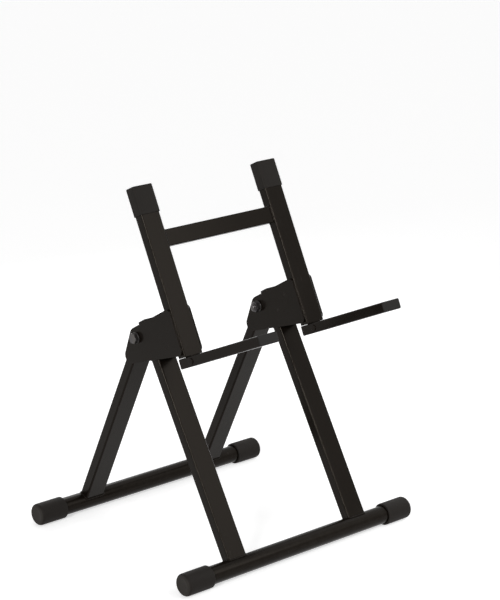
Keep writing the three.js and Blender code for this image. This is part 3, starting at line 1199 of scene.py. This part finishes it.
@dataclass
class FloorRail(SubAssembly):
    """A round rail on the floor, its two rubber caps and the welds of its legs."""

    prefix: str
    body: Body
    point: Point
    lean: float
    tube_edge: float = 0.35 * MM
    lip_gap: float = 0.55 * MM
    cap_edge: float = 6 * MM
    lip_outer_edge: float = 1.5 * MM
    lip_inner_edge: float = 0.8 * MM
    dish_rings: tuple[Point, ...] = (
        (1.2 * MM, 0),
        (0.5 * MM, -0.35 * MM),
        (4.5 * MM, -0.15 * MM),
        (4.0 * MM, -0.05 * MM),
    )
    bead_radius: float = 1.7 * MM
    bead_pitch: float = 2.2 * MM
    bead_out: float = 0.35 * MM
    bead_rise: float = 0.25 * MM

    def build(self) -> None:
        """Models the rail, its caps and the beads round its legs."""
        self.tube()
        for side in SIDES:
            self.cap(side)
            self.leg_weld(side)

    def tube(self) -> None:
        """The rail's tube."""
        s = self.sizes
        half = s.width / 2 - s.cap_end_wall - s.seam
        tube = Workbench.rod(f"{self.prefix}_rail_tube", s.rail_radius, -half, half, RAIL_SIDES)
        Workbench.bore(tube, 0, s.rail_wall)
        Workbench.soften(tube, self.tube_edge)
        place = frame_at(0, self.point, 0)
        self.finish(tube, place, Slot.STEEL, self.body, f"{self.prefix}_rail")

    def cap(self, side: Side) -> None:
        """One rubber cap: a thick eased lip, and a rounded closed end with a shallow dish.

        Args:
            side: Side of the stand.
        """
        s = self.sizes
        outer = s.width / 2
        inner = outer - s.cap_length
        bore = s.rail_radius + self.lip_gap
        name = f"{self.prefix}_rubber_cap_{side.name}"
        cap = Workbench.rod(name, s.cap_radius, inner, outer, RAIL_SIDES)
        Workbench.round_edges(cap, self.cap_edge, lambda a, b: min(a.x, b.x) > outer - NEAR, 10)
        Workbench.sink(cap, 0, s.cap_radius - bore, s.cap_length - s.cap_end_wall)
        lips = (
            (self.lip_outer_edge, 5, s.cap_radius - NEAR, s.cap_radius + NEAR),
            (self.lip_inner_edge, 3, 0, bore + NEAR),
        )
        for radius, segments, least, most in lips:
            Workbench.round_edges(
                cap,
                radius,
                lambda a, b, least=least, most=most: max(a.x, b.x) < inner + NEAR
                and least < min(a.yz.length, b.yz.length)
                and max(a.yz.length, b.yz.length) < most,
                segments,
            )
        Workbench.pick(cap, "FACE", lambda middle, normal: normal.x > FLAT)
        for width, depth in self.dish_rings:
            bpy.ops.mesh.inset(thickness=width, depth=depth)
        Workbench.done()
        place = frame_at(0, self.point, 0) @ outward(side)
        node = f"{self.prefix}_rail_cap_{side.name}"
        self.finish(cap, place, Slot.RUBBER, self.body, node, CAP_SHARP)

    def leg_weld(self, side: Side) -> None:
        """Fillet weld round the foot of one leg.

        Args:
            side: Side of the stand.
        """
        s = self.sizes
        width, depth, corner = s.leg_section()
        out = self.bead_out
        path = []
        for x, y in rounded_rectangle(width + 2 * out, depth + 2 * out, corner + out):
            rise = math.sqrt((s.rail_radius + out) ** 2 - y * y)
            path.append(Vector((x, y, rise + self.bead_rise)))
        name = f"{self.prefix}_leg_weld_{side.name}"
        bead = Workbench.bead(name, path, self.bead_radius, self.bead_pitch, True)
        self.weld(bead, frame_at(s.leg_x(side), self.point, self.lean), self.body)


@dataclass
class FrontLegs(SubAssembly):
    """The two front legs with the plastic plugs in their top ends."""

    def build(self) -> None:
        """Models both legs and plugs."""
        for side in SIDES:
            self.leg(side)

    def top(self) -> float:
        """Length of the front legs above the rail's axis."""
        run = Vector(self.sizes.pivot()) - Vector(self.sizes.front_axis())
        return run.dot(Vector(leaning(self.sizes.front_lean))) + self.sizes.leg_top_reach

    def leg(self, side: Side) -> None:
        """One leg, saddled onto its rail, and its plug.

        Args:
            side: Side of the stand.
        """
        s = self.sizes
        top = self.top()
        place = frame_at(s.leg_x(side), s.front_axis(), -s.front_lean)
        leg = self.leg_tube(f"front_leg_tube_{side.name}", top)
        self.finish(leg, place, Slot.STEEL, Body.FRONT, f"front_leg_{side.name}")
        plug = self.end_plug(f"front_leg_end_plug_{side.name}", s.leg_section(), top + s.seam)
        self.finish(plug, place, Slot.PLASTIC, Body.FRONT, f"front_leg_plug_{side.name}")


@dataclass
class RearLegs(SubAssembly):
    """The two rear legs, rounded about their pivots, and their bushes."""

    top_sides: int = 64
    bush_radius: float = 7 * MM
    bush_edge: float = 0.3 * MM

    def build(self) -> None:
        """Models both legs."""
        for side in SIDES:
            self.leg(side)
            self.bush(side)

    def leg(self, side: Side) -> None:
        """One leg with its round top end.

        Args:
            side: Side of the stand.
        """
        s = self.sizes
        reach = s.rear_reach()
        half, wide = s.leg_depth / 2, s.leg_width
        leg = self.leg_tube(f"rear_leg_tube_{side.name}", reach + half)
        keep = Workbench.rod("keep", half, -wide, wide, self.top_sides, (0, reach))
        below = Workbench.block("below", (-wide, -half - MM, 0), (wide, half + MM, reach))
        Workbench.combine(keep, below, "UNION")
        Workbench.combine(leg, keep, "INTERSECT")
        self.drill(leg, self.bush_radius, wide, (0, reach))
        place = frame_at(s.leg_x(side), s.rear_axis(), s.rear_lean)
        self.finish(leg, place, Slot.STEEL, Body.REAR, f"rear_leg_{side.name}")

    def bush(self, side: Side) -> None:
        """Steel bush in the leg's top.

        Args:
            side: Side of the stand.
        """
        s = self.sizes
        half = s.leg_width / 2
        name = f"pivot_sleeve_{side.name}"
        bush = Workbench.rod(name, self.bush_radius, -half, half, PIVOT_SIDES)
        Workbench.bore(bush, 0, self.bush_radius - s.bolt_radius - s.seam)
        Workbench.soften(bush, self.bush_edge)
        place = frame_at(s.leg_x(side), s.pivot(), 0)
        self.finish(bush, place, Slot.BARE, Body.REAR, f"pivot_bush_{side.name}")


@dataclass
class HeadBracket(SubAssembly):
    """A bracket that joins upright and front leg and carries the rear leg's pivot."""

    side: Side
    foot_rise: float = 12 * MM
    upright_rise: float = 78 * MM
    corner: float = 8 * MM
    pivot_corner: float = 18 * MM
    web_start: float = 12 * MM
    web_length: float = 30 * MM
    sides: int = 72
    edge: float = 0.4 * MM
    bead_radius: float = 1.15 * MM
    bead_pitch: float = 1.8 * MM
    bead_inset: float = 0.9 * MM
    bead_out: float = 0.2 * MM

    def build(self) -> None:
        """Models the plates, the web and the welds."""
        s = self.sizes
        inner = s.leg_width / 2 + s.seam
        outer = inner + s.plate
        bracket, far_plate = self.plate(-outer, -inner), self.plate(inner, outer)
        for part in (self.web(outer - s.plate / 2), far_plate):
            Workbench.combine(bracket, part, "UNION")
        self.drill(bracket, s.bolt_radius, outer + MM, s.pivot())
        Workbench.soften(bracket, self.edge, angle=PLATE_BREAK)
        bracket.name = f"head_bracket_plates_{self.side.name}"
        place = frame_at(s.leg_x(self.side), (0, 0), 0)
        self.finish(bracket, place, Slot.STEEL, Body.FRONT, f"head_bracket_{self.side.name}")
        self.weld(self.welds(inner + self.bead_inset), place, Body.FRONT)

    def circles(self) -> list[tuple[Point, float]]:
        """Circles that the plate's outline runs round.

        Returns:
            The middle and radius of each.
        """
        s = self.sizes
        up = leaning(s.upright_lean)
        foot = s.upright_axis_foot()
        to_web = s.rear_reach() - self.web_start - self.web_length
        web_end = shifted(s.rear_axis(), leaning(-s.rear_lean), to_web)
        return [
            (shifted(foot, up, self.foot_rise), self.corner),
            (shifted(foot, up, self.upright_rise), self.corner),
            (s.pivot(), self.pivot_corner),
            (web_end, s.leg_depth / 2 + s.seam + s.plate + s.seam),
        ]

    def plate(self, start: float, end: float) -> Piece:
        """Side plate from one X to another, the hull of four discs."""
        rods = [Workbench.rod("disc", r, start, end, self.sides, p) for p, r in self.circles()]
        return Workbench.hull("plate", rods)

    def web(self, half_width: float) -> Piece:
        """The web between the plates, which the rear leg opens against.

        Args:
            half_width: Half its size along X.

        Returns:
            The web.
        """
        s = self.sizes
        face = s.leg_depth / 2 + s.seam
        end = s.rear_reach() - self.web_start
        low, high = (-half_width, face, end - self.web_length), (half_width, face + s.plate, end)
        web = Workbench.block("web", low, high)
        return Workbench.settle(web, frame_at(0, s.rear_axis(), s.rear_lean))

    def welds(self, seam_x: float) -> Piece:
        """Beads where the plates meet the upright and the front leg.

        Args:
            seam_x: Middle of the seams, from the middle of the leg.

        Returns:
            The beads as one object.
        """
        beads = []
        for edge in (self.upright_seam(), self.leg_seam()):
            for hand in (-1, 1):
                path = [Vector((hand * seam_x, *point)) for point in edge]
                beads.append(
                    Workbench.bead("bead", path, self.bead_radius, self.bead_pitch, False)
                )
        return Workbench.join(f"bracket_weld_{self.side.name}", beads)

    def upright_seam(self) -> tuple[Point, Point]:
        """The plates' front edge, which is welded to the upright.

        Returns:
            Its two ends in the side view.
        """
        s = self.sizes
        up = leaning(s.upright_lean)
        out = -self.corner - self.bead_out
        edge = shifted(s.upright_axis_foot(), behind(s.upright_lean), out)
        return shifted(edge, up, self.foot_rise), shifted(edge, up, self.upright_rise)

    def leg_seam(self) -> tuple[Point, Point]:
        """The stretch of the plates' lower edge that is welded to the front leg.

        Returns:
            Its two ends in the side view.
        """
        s = self.sizes
        (foot, foot_radius), _, _, (web, web_radius) = self.circles()
        run = Vector(web) - Vector(foot)
        lean = (foot_radius - web_radius) / run.length
        along = run.normalized()
        below = Vector((along.y, -along.x))
        normal = along * lean + below * math.sqrt(1 - lean * lean)
        start = Vector(foot) + normal * (foot_radius + self.bead_out)
        end = Vector(web) + normal * (web_radius + self.bead_out)
        across = Vector(behind(s.front_lean))
        offsets = [(point - Vector(s.front_axis())).dot(across) for point in (start, end)]
        flat = s.leg_depth / 2 - s.leg_corner
        shares = [(limit - offsets[0]) / (offsets[1] - offsets[0]) for limit in (-flat, flat)]
        return tuple(tuple(start.lerp(end, share)) for share in shares)


@dataclass
class PivotStack(SubAssembly):
    """Bolt, washers and locking nut of one rear-leg pivot."""

    side: Side
    sides: int = 64
    across_flats: float = 17 * MM
    crown_angle: float = 30
    crown_tip: float = 0.97
    head_height: float = 6.4 * MM
    nut_height: float = 8 * MM
    collar_height: float = 2.4 * MM
    collar_radius: float = 7 * MM
    collar_edge: float = 0.9 * MM
    overrun: float = 2 * MM
    tip_length: float = 0.9 * MM
    tip_taper: float = 0.8
    tip_dish: Point = (0.6 * MM, -0.2 * MM)
    thread_turns: int = 3
    thread_pitch: float = 1.5 * MM
    thread_start: float = 1.3 * MM
    groove_out: float = 0.1 * MM
    groove_radius: float = 0.55 * MM
    washer_radius: float = 10 * MM
    washer_thickness: float = 2 * MM
    washer_edge: float = 0.35 * MM
    edge: float = 0.18 * MM

    def seats(self) -> Point:
        """Places of the washer's and the head's seats, from the middle of the leg."""
        washer = self.sizes.leg_width / 2 + self.sizes.plate + 2 * self.sizes.seam
        return washer, washer + self.washer_thickness + self.sizes.seam

    def build(self) -> None:
        """Models the stack, its head on the outer side."""
        s = self.sizes
        place = frame_at(s.leg_x(self.side), s.pivot(), 0) @ outward(self.side)
        seat, _ = self.seats()
        fasteners = (
            (self.bolt(), "hex_bolt", "bolt"),
            (self.nut(), "lock_nut", "nut"),
            (self.washer(seat), "flat_washer_outer", "washer_outer"),
            (self.washer(-seat - self.washer_thickness), "flat_washer_inner", "washer_inner"),
        )
        for piece, name, node in fasteners:
            piece.name = f"pivot_{name}_{self.side.name}"
            self.finish(piece, place, Slot.ZINC, Body.FRONT, f"pivot_{node}_{self.side.name}")

    def hexagon(self, start: float, end: float, crown: int) -> Piece:
        """Hexagon along X with the corners of one end turned off.

        Args:
            start: Where it starts.
            end: Where it ends.
            crown: +1 or -1 for the end whose corners are turned off.

        Returns:
            The hexagon.
        """
        inscribed = self.across_flats / 2
        body = Workbench.rod("hexagon", self.across_flats / math.sqrt(3), start, end, 6)
        Workbench.clear()
        bpy.ops.mesh.primitive_cone_add(
            vertices=self.sides,
            radius1=inscribed + (end - start) / math.tan(math.radians(self.crown_angle)),
            radius2=inscribed * self.crown_tip,
            depth=end - start,
            location=((start + end) / 2, 0, 0),
            rotation=(0, QUARTER_TURN * crown, 0),
        )
        return Workbench.combine(body, Workbench.freeze(), "INTERSECT")

    def bolt(self) -> Piece:
        """Hexagon bolt along X with turned thread ridges at its end.

        Returns:
            The bolt.
        """
        radius = self.sizes.bolt_radius
        _, seat = self.seats()
        tip = -seat - self.nut_height - self.collar_height - self.overrun
        shank = Workbench.rod("bolt", radius, tip + self.tip_length, seat + MM, PIVOT_SIDES)
        Workbench.pick(shank, "FACE", lambda middle, normal: normal.x < -SQUARE)
        Workbench.extrude(0, -self.tip_length)
        bpy.ops.transform.resize(value=(1, self.tip_taper, self.tip_taper))
        bpy.ops.mesh.inset(thickness=self.tip_dish[0], depth=self.tip_dish[1])
        Workbench.done()
        for turn in range(self.thread_turns):
            Workbench.clear()
            bpy.ops.mesh.primitive_torus_add(
                major_radius=radius + self.groove_out,
                minor_radius=self.groove_radius,
                major_segments=PIVOT_SIDES,
                minor_segments=6,
                location=(tip + self.thread_start + turn * self.thread_pitch, 0, 0),
                rotation=(0, QUARTER_TURN, 0),
            )
            Workbench.combine(shank, Workbench.freeze(), "DIFFERENCE")
        Workbench.combine(shank, self.hexagon(seat, seat + self.head_height, 1), "UNION")
        return Workbench.soften(shank, self.edge, angle=BOLT_BREAK)

    def nut(self) -> Piece:
        """Locking nut along X with its round collar.

        Returns:
            The nut.
        """
        _, seat = self.seats()
        far = seat + self.nut_height
        end = -far - self.collar_height
        nut = self.hexagon(-far, -seat, -1)
        collar = Workbench.rod("collar", self.collar_radius, end, -far + MM, PIVOT_SIDES)
        Workbench.round_edges(collar, self.collar_edge, lambda a, b: max(a.x, b.x) < end + NEAR, 4)
        Workbench.combine(nut, collar, "UNION")
        self.drill(nut, self.sizes.bolt_radius, far + 2 * self.collar_height, (0, 0))
        return Workbench.soften(nut, self.edge, angle=BOLT_BREAK)

    def washer(self, start: float) -> Piece:
        """Flat washer along X.

        Args:
            start: Its lower X.

        Returns:
            The washer.
        """
        s = self.sizes
        end = start + self.washer_thickness
        washer = Workbench.rod("washer", self.washer_radius, start, end, self.sides)
        Workbench.bore(washer, 0, self.washer_radius - s.bolt_radius - s.seam)
        return Workbench.soften(washer, self.washer_edge, 3)


@dataclass
class Cradle(SubAssembly):
    """Back uprights, crossbar, rubber caps and hinge lugs."""

    tube_edge: float = 0.3 * MM
    cap_length: float = 50 * MM
    cap_wall: float = 1.6 * MM
    cap_end_wall: float = 2 * MM
    cap_crown: float = 1.8 * MM
    cap_edge: float = 0.25 * MM
    crossbar_height: float = 30 * MM
    crossbar_depth: float = 14 * MM
    crossbar_corner: float = 2 * MM
    bead_radius: float = 1.3 * MM
    bead_pitch: float = 2.0 * MM
    bead_swell: Point = (1.05, 1.025)
    lug_rise: float = 45 * MM
    lug_edge: float = 0.4 * MM

    def build(self) -> None:
        """Models the cradle."""
        for side in SIDES:
            self.upright(side)
            self.upright_cap(side)
            self.lug(side)
        self.crossbar()

    def place(self, x: float, rise: float = 0) -> Matrix:
        """Local frame on the uprights' middle line, Z up along them, a rise above their feet."""
        foot = frame_at(x, self.sizes.upright_foot(), -self.sizes.upright_lean)
        return foot @ Matrix.Translation((0, -self.sizes.leg_depth / 2, rise))

    def upright(self, side: Side) -> None:
        """One upright.

        Args:
            side: Side of the stand.
        """
        s = self.sizes
        name = f"back_upright_tube_{side.name}"
        tube = self.rectangular_tube(name, s.leg_section(), 0, s.upright_length)
        Workbench.soften(tube, self.tube_edge, angle=TUBE_BREAK)
        place = self.place(s.leg_x(side))
        self.finish(tube, place, Slot.STEEL, Body.FRONT, f"back_upright_{side.name}")

    def upright_cap(self, side: Side) -> None:
        """Rubber cap over the top of one upright, with eased edges, open at its lower end.

        Args:
            side: Side of the stand.
        """
        s = self.sizes
        end = s.upright_length + self.cap_end_wall + s.seam
        gap = s.seam + self.cap_wall
        x, y = s.leg_width / 2 + gap, s.leg_depth / 2 + gap
        name = f"upright_rubber_cap_{side.name}"
        cap = Workbench.block(name, (-x, -y, end - self.cap_length), (x, y, end))
        corner, half = s.leg_corner + gap, self.cap_length / 2
        Workbench.round_edges(cap, corner, lambda a, b: abs(a.z - b.z) > half, 6)
        Workbench.round_edges(cap, self.cap_crown, lambda a, b: min(a.z, b.z) > end - NEAR)
        Workbench.sink(cap, 2, self.cap_wall, self.cap_length - self.cap_end_wall)
        Workbench.soften(cap, self.cap_edge, angle=TUBE_BREAK)
        place, node = self.place(s.leg_x(side)), f"upright_cap_{side.name}"
        self.finish(cap, place, Slot.RUBBER, Body.FRONT, node, CAP_SHARP)

    def lug(self, side: Side) -> None:
        """Hinge lug in the foot of one upright.

        Args:
            side: Side of the stand.
        """
        s = self.sizes
        half = s.lug_thickness / 2
        pin = (-s.arm_pivot_drop, s.arm_pivot_run)
        inset = s.leg_wall + s.seam
        knee = s.lug_eye - s.seam
        discs = ((s.lug_eye, pin), (knee, (pin[0], inset + knee + MM)))
        rods = [Workbench.rod("disc", r, -half, half, PIVOT_SIDES, p) for r, p in discs]
        lug = Workbench.hull("lug", rods)
        low, high = (-half, pin[0], inset), (half, self.lug_rise, s.leg_depth - inset)
        lean = frame_at(0, (0, 0), s.arm_tilt - s.upright_lean)
        shank = Workbench.settle(Workbench.block("shank", low, high), lean)
        Workbench.combine(lug, shank, "UNION")
        self.drill(lug, s.pin_radius, half + MM, pin)
        Workbench.soften(lug, self.lug_edge, angle=PLATE_BREAK)
        lug.name = f"arm_hinge_plate_{side.name}"
        place = frame_at(s.leg_x(side), s.arm_seat(), 90 - s.arm_tilt)
        self.finish(lug, place, Slot.STEEL, Body.FRONT, f"arm_hinge_lug_{side.name}")

    def crossbar(self) -> None:
        """Flat crossbar and the welds at its ends."""
        s = self.sizes
        x = (s.leg_spacing - s.leg_width) / 2 - s.seam
        y, z = self.crossbar_depth / 2, self.crossbar_height / 2
        bar = Workbench.block("back_crossbar_tube", (-x, -y, -z), (x, y, z))
        Workbench.round_edges(bar, self.crossbar_corner, lambda a, b: abs(a.x - b.x) > x)
        Workbench.bore(bar, 0, s.leg_wall)
        place = self.place(0, s.crossbar_rise)
        self.finish(bar, place, Slot.STEEL, Body.FRONT, "back_crossbar")
        outline = rounded_rectangle(2 * y, 2 * z, self.crossbar_corner)
        out, up = self.bead_swell
        for side in SIDES:
            path = [Vector((side.sign * (x - s.seam), a * out, b * up)) for a, b in outline]
            name = f"crossbar_weld_{side.name}"
            bead = Workbench.bead(name, path, self.bead_radius, self.bead_pitch, True)
            self.weld(bead, place, Body.FRONT)


@dataclass
class SupportArm(SubAssembly):
    """A folding support arm with its pin, spacers and end plug."""

    side: Side
    tube_edge: float = 0.25 * MM
    lug_clearance: float = 1 * MM
    opening_corner: float = 3 * MM
    pin_sides: int = 40
    pin_overlap: float = 0.5 * MM
    head_radius: float = 6 * MM
    head_height: float = 1.2 * MM
    head_edge: float = 1.1 * MM
    ring_radius: float = 7 * MM
    ring_edge: float = 0.3 * MM

    def place(self, drop: float, run: float = 0) -> Matrix:
        """Local frame of the arm: Z forward along it, Y up out of its top face.

        Args:
            drop: Depth of the origin below the top face.
            run: Distance of the origin from the arm's rear end.

        Returns:
            The frame.
        """
        s = self.sizes
        corner = frame_at(s.leg_x(self.side), s.arm_seat(), 90 - s.arm_tilt)
        return corner @ Matrix.Translation((0, -drop, run))

    def build(self) -> None:
        """Models the arm and what rides on it."""
        s = self.sizes
        at_middle = self.place(s.arm_height / 2)
        at_pin = self.place(s.arm_pivot_drop, s.arm_pivot_run)
        word = self.side.name
        tube = self.tube()
        lid = s.arm_length + s.seam
        plug = self.end_plug(f"support_arm_end_plug_{word}", s.arm_section(), lid)
        pieces = [
            (tube, at_middle, Slot.STEEL, f"arm_{word}"),
            (plug, at_middle, Slot.PLASTIC, f"arm_plug_{word}"),
            (self.pin(), at_pin, Slot.STEEL, f"arm_pin_{word}"),
        ]
        for hand, which in ((self.side.sign, "outer"), (-self.side.sign, "inner")):
            ring = self.spacer(f"arm_spacer_ring_{which}_{word}", hand)
            pieces.append((ring, at_pin, Slot.BARE, f"arm_spacer_{which}_{word}"))
        for piece, place, slot, node in pieces:
            self.finish(piece, place, slot, self.side.arm_body, node)

    def tube(self) -> Piece:
        """The arm's tube, its top wall cut away over the lug, drilled for its pin.

        Returns:
            The tube, its middle line along local Z.
        """
        s = self.sizes
        name = f"support_arm_tube_{self.side.name}"
        arm = self.rectangular_tube(name, s.arm_section(), 0, s.arm_length)
        x = s.leg_width / 2 - s.leg_wall
        y, end = 1.5 * s.arm_height, s.arm_pivot_run + s.lug_eye + self.lug_clearance
        opening = Workbench.block("opening", (-x, 0, -end), (x, y, end))
        Workbench.round_edges(
            opening,
            self.opening_corner,
            lambda a, b: abs(a.y - b.y) > MM and min(a.z, b.z) > end - NEAR,
        )
        Workbench.combine(arm, opening, "DIFFERENCE")
        self.drill(arm, s.pin_radius, s.leg_width, (0, s.arm_pivot_run))
        return Workbench.soften(arm, self.tube_edge, angle=TUBE_BREAK)

    def pin(self) -> Piece:
        """Riveted pin with a low domed head on each side, painted with the arm.

        Returns:
            The pin, along local X.
        """
        s = self.sizes
        start = s.leg_width / 2 + s.seam
        end = start + self.head_height
        rim = end - NEAR
        reach = start + self.pin_overlap
        name = f"arm_rivet_{self.side.name}"
        pin = Workbench.rod(name, s.pin_radius, -reach, reach, self.pin_sides)
        for hand in (-1, 1):
            low, high = sorted((hand * start, hand * end))
            head = Workbench.rod("head", self.head_radius, low, high, self.pin_sides)
            Workbench.round_edges(
                head, self.head_edge, lambda a, b, out=hand: min(a.x * out, b.x * out) > rim
            )
            Workbench.combine(pin, head, "UNION")
        return pin

    def spacer(self, name: str, hand: int) -> Piece:
        """Steel spacer between the lug and one wall of the arm.

        Args:
            name: Name of the new object.
            hand: -1 or +1 for the wall on local -X or +X.

        Returns:
            The spacer, round the pin.
        """
        s = self.sizes
        start = s.lug_thickness / 2 + s.seam
        end = s.leg_width / 2 - s.leg_wall - s.seam
        low, high = sorted((hand * start, hand * end))
        ring = Workbench.rod(name, self.ring_radius, low, high, PIVOT_SIDES)
        Workbench.bore(ring, 0, self.ring_radius - s.pin_radius - s.seam)
        return Workbench.soften(ring, self.ring_edge)


# -------------------------------------------------------------------------------------- studio


@dataclass(frozen=True)
class RoundLamp:
    """A distant, broad round studio lamp.

    Attributes:
        name: Name of the lamp.
        toward: Direction from the stand to the lamp.
        strength: Its light on a face square to it.
        spread: Angle that it fills, in degrees.
    """

    name: str
    toward: Triple
    strength: float
    spread: float

    def build(self) -> None:
        """Sets the lamp up, shining at the stand."""
        data = bpy.data.lights.new(self.name, "SUN")
        data.energy = self.strength
        data.angle = math.radians(self.spread)
        aim(self.name, data, Vector(self.toward).normalized() * LAMP_REACH, Vector())


@dataclass(frozen=True)
class SoftBox:
    """A rectangular softbox near the stand.

    Attributes:
        name: Name of the lamp.
        place: Where it stands.
        target: Where it points.
        width: Size across.
        height: Size up.
        level: Brightness of its face, 1 is as bright as a white wall.
    """

    name: str
    place: Triple
    target: Triple
    width: float
    height: float
    level: float

    def build(self) -> None:
        """Sets the softbox up."""
        data = bpy.data.lights.new(self.name, "AREA")
        data.shape = "RECTANGLE"
        data.size = self.width
        data.size_y = self.height
        data.energy = self.level * math.pi * self.width * self.height
        aim(self.name, data, Vector(self.place), Vector(self.target))


def aim(name: str, data: bpy.types.Light, place: Vector, target: Vector) -> None:
    """Adds a lamp that points at a target.

    Args:
        name: Name of the lamp.
        data: Its light.
        place: Where it stands.
        target: Where it points.
    """
    lamp = bpy.data.objects.new(name, data)
    bpy.context.scene.collection.objects.link(lamp)
    lamp.location = place
    lamp.rotation_mode = "QUATERNION"
    lamp.rotation_quaternion = (target - place).to_track_quat("-Z", "Y")
    lamp.visible_camera = False


@dataclass(frozen=True)
class Studio:
    """Pale floor, soft light and the camera."""

    floor_radius: float = 40.0
    floor_drop: float = 0.2 * MM
    floor_colour: Triple = (0.86, 0.86, 0.86)
    camera_place: Triple = (-2.412767, -2.773666, 1.540079)
    azimuth: float = -41.5076
    elevation: float = 16.8626
    focal_px: float = 2198.71
    frame_px: float = 600.0
    sensor: float = 36.0
    clip: Point = (0.05, 200.0)
    world_level: float = 0.22
    white_level: float = 1.0
    floor_glow: float = 0.50
    lamps: tuple[RoundLamp | SoftBox, ...] = (
        RoundLamp("key_lamp", (-0.8, -0.45, 0.4), 1.9, 14.0),
        RoundLamp("top_lamp", (0.5, -0.3, 0.8), 0.3, 60.0),
        SoftBox("front_softbox", (0.35, -1.15, 1.0), (0, 0, 0.25), 1.1, 0.9, 2.0),
        SoftBox("rear_softbox", (0.3, 1.3, 0.95), (0, 0, 0.3), 1.1, 0.9, 1.8),
        SoftBox("side_softbox", (1.4, 0.1, 0.5), (0, 0, 0.3), 0.8, 0.7, 2.4),
    )

    def build(self) -> None:
        """Sets up the studio."""
        self.camera()
        self.floor()
        self.world()
        for lamp in self.lamps:
            lamp.build()
        bpy.context.scene.view_settings.view_transform = "Standard"

    def camera(self) -> None:
        """Camera at the solved place."""
        data = bpy.data.cameras.new("view_camera")
        data.sensor_width = self.sensor
        data.lens = self.focal_px / self.frame_px * self.sensor
        data.clip_start, data.clip_end = self.clip
        camera = bpy.data.objects.new("view_camera", data)
        bpy.context.scene.collection.objects.link(camera)
        turn = math.radians(self.azimuth)
        rise = math.radians(self.elevation)
        level = Vector((0, -math.cos(rise), math.sin(rise)))
        back = Matrix.Rotation(turn, 3, "Z") @ level
        camera.location = self.camera_place
        camera.rotation_mode = "QUATERNION"
        camera.rotation_quaternion = (-back).to_track_quat("-Z", "Y")
        bpy.context.scene.camera = camera

    def floor(self) -> None:
        """Pale floor that keeps the stand's shadow and reads as white to the camera."""
        Workbench.clear()
        low = (0, 0, -self.floor_drop)
        bpy.ops.mesh.primitive_circle_add(
            vertices=96, radius=self.floor_radius, fill_type="NGON", location=low
        )
        floor = bpy.context.object
        floor.name = "studio_floor"
        graph = Graph("pale_studio_floor")
        graph.feed("Base Color", (*self.floor_colour, 1))
        graph.feed("Roughness", 0.9)
        graph.feed("Specular IOR Level", 0.0)
        glow = (self.floor_glow,) * 3
        graph.feed("Emission Color", graph.blend(graph.shown(), (0, 0, 0), glow))
        graph.feed("Emission Strength", 1.0)
        floor.data.materials.append(graph.material)
        floor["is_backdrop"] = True

    def world(self) -> None:
        """Even surroundings: white where they show, soft as a light."""
        graph = WorldGraph("studio_world")
        light = graph.background(self.world_level)
        white = graph.background(self.white_level)
        mix = graph.node("ShaderNodeMixShader", inputs={0: graph.shown(), 1: light, 2: white})
        graph.put(graph.output, "Surface", mix.outputs[0])


# ---------------------------------------------------------------------------------------- main


def corners(bounds: tuple[Vector, Vector]) -> list[list[float]]:
    """A box's two corners as plain lists."""
    return [list(bounds[0]), list(bounds[1])]


def main() -> None:
    """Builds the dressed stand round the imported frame."""
    logging.basicConfig(level=logging.INFO, format="%(name)s: %(message)s")
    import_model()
    cad_box = corners(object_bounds())
    Studio().build()
    sizes = StandSizes()
    finishes = Finishes()
    assemblies: list[SubAssembly] = [
        FloorRail(sizes, finishes, "front", Body.FRONT, sizes.front_axis(), -sizes.front_lean),
        FloorRail(sizes, finishes, "rear", Body.REAR, sizes.rear_axis(), sizes.rear_lean),
        FrontLegs(sizes, finishes),
        RearLegs(sizes, finishes),
        Cradle(sizes, finishes),
    ]
    for side in SIDES:
        assemblies.append(HeadBracket(sizes, finishes, side))
        assemblies.append(PivotStack(sizes, finishes, side))
        assemblies.append(SupportArm(sizes, finishes, side))
    for assembly in assemblies:
        assembly.build()
        log.info("%s built", type(assembly).__name__)
    Workbench.clear()
    {"cad": cad_box, "visual": corners(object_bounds())}


if __name__ == "__main__":
    main()
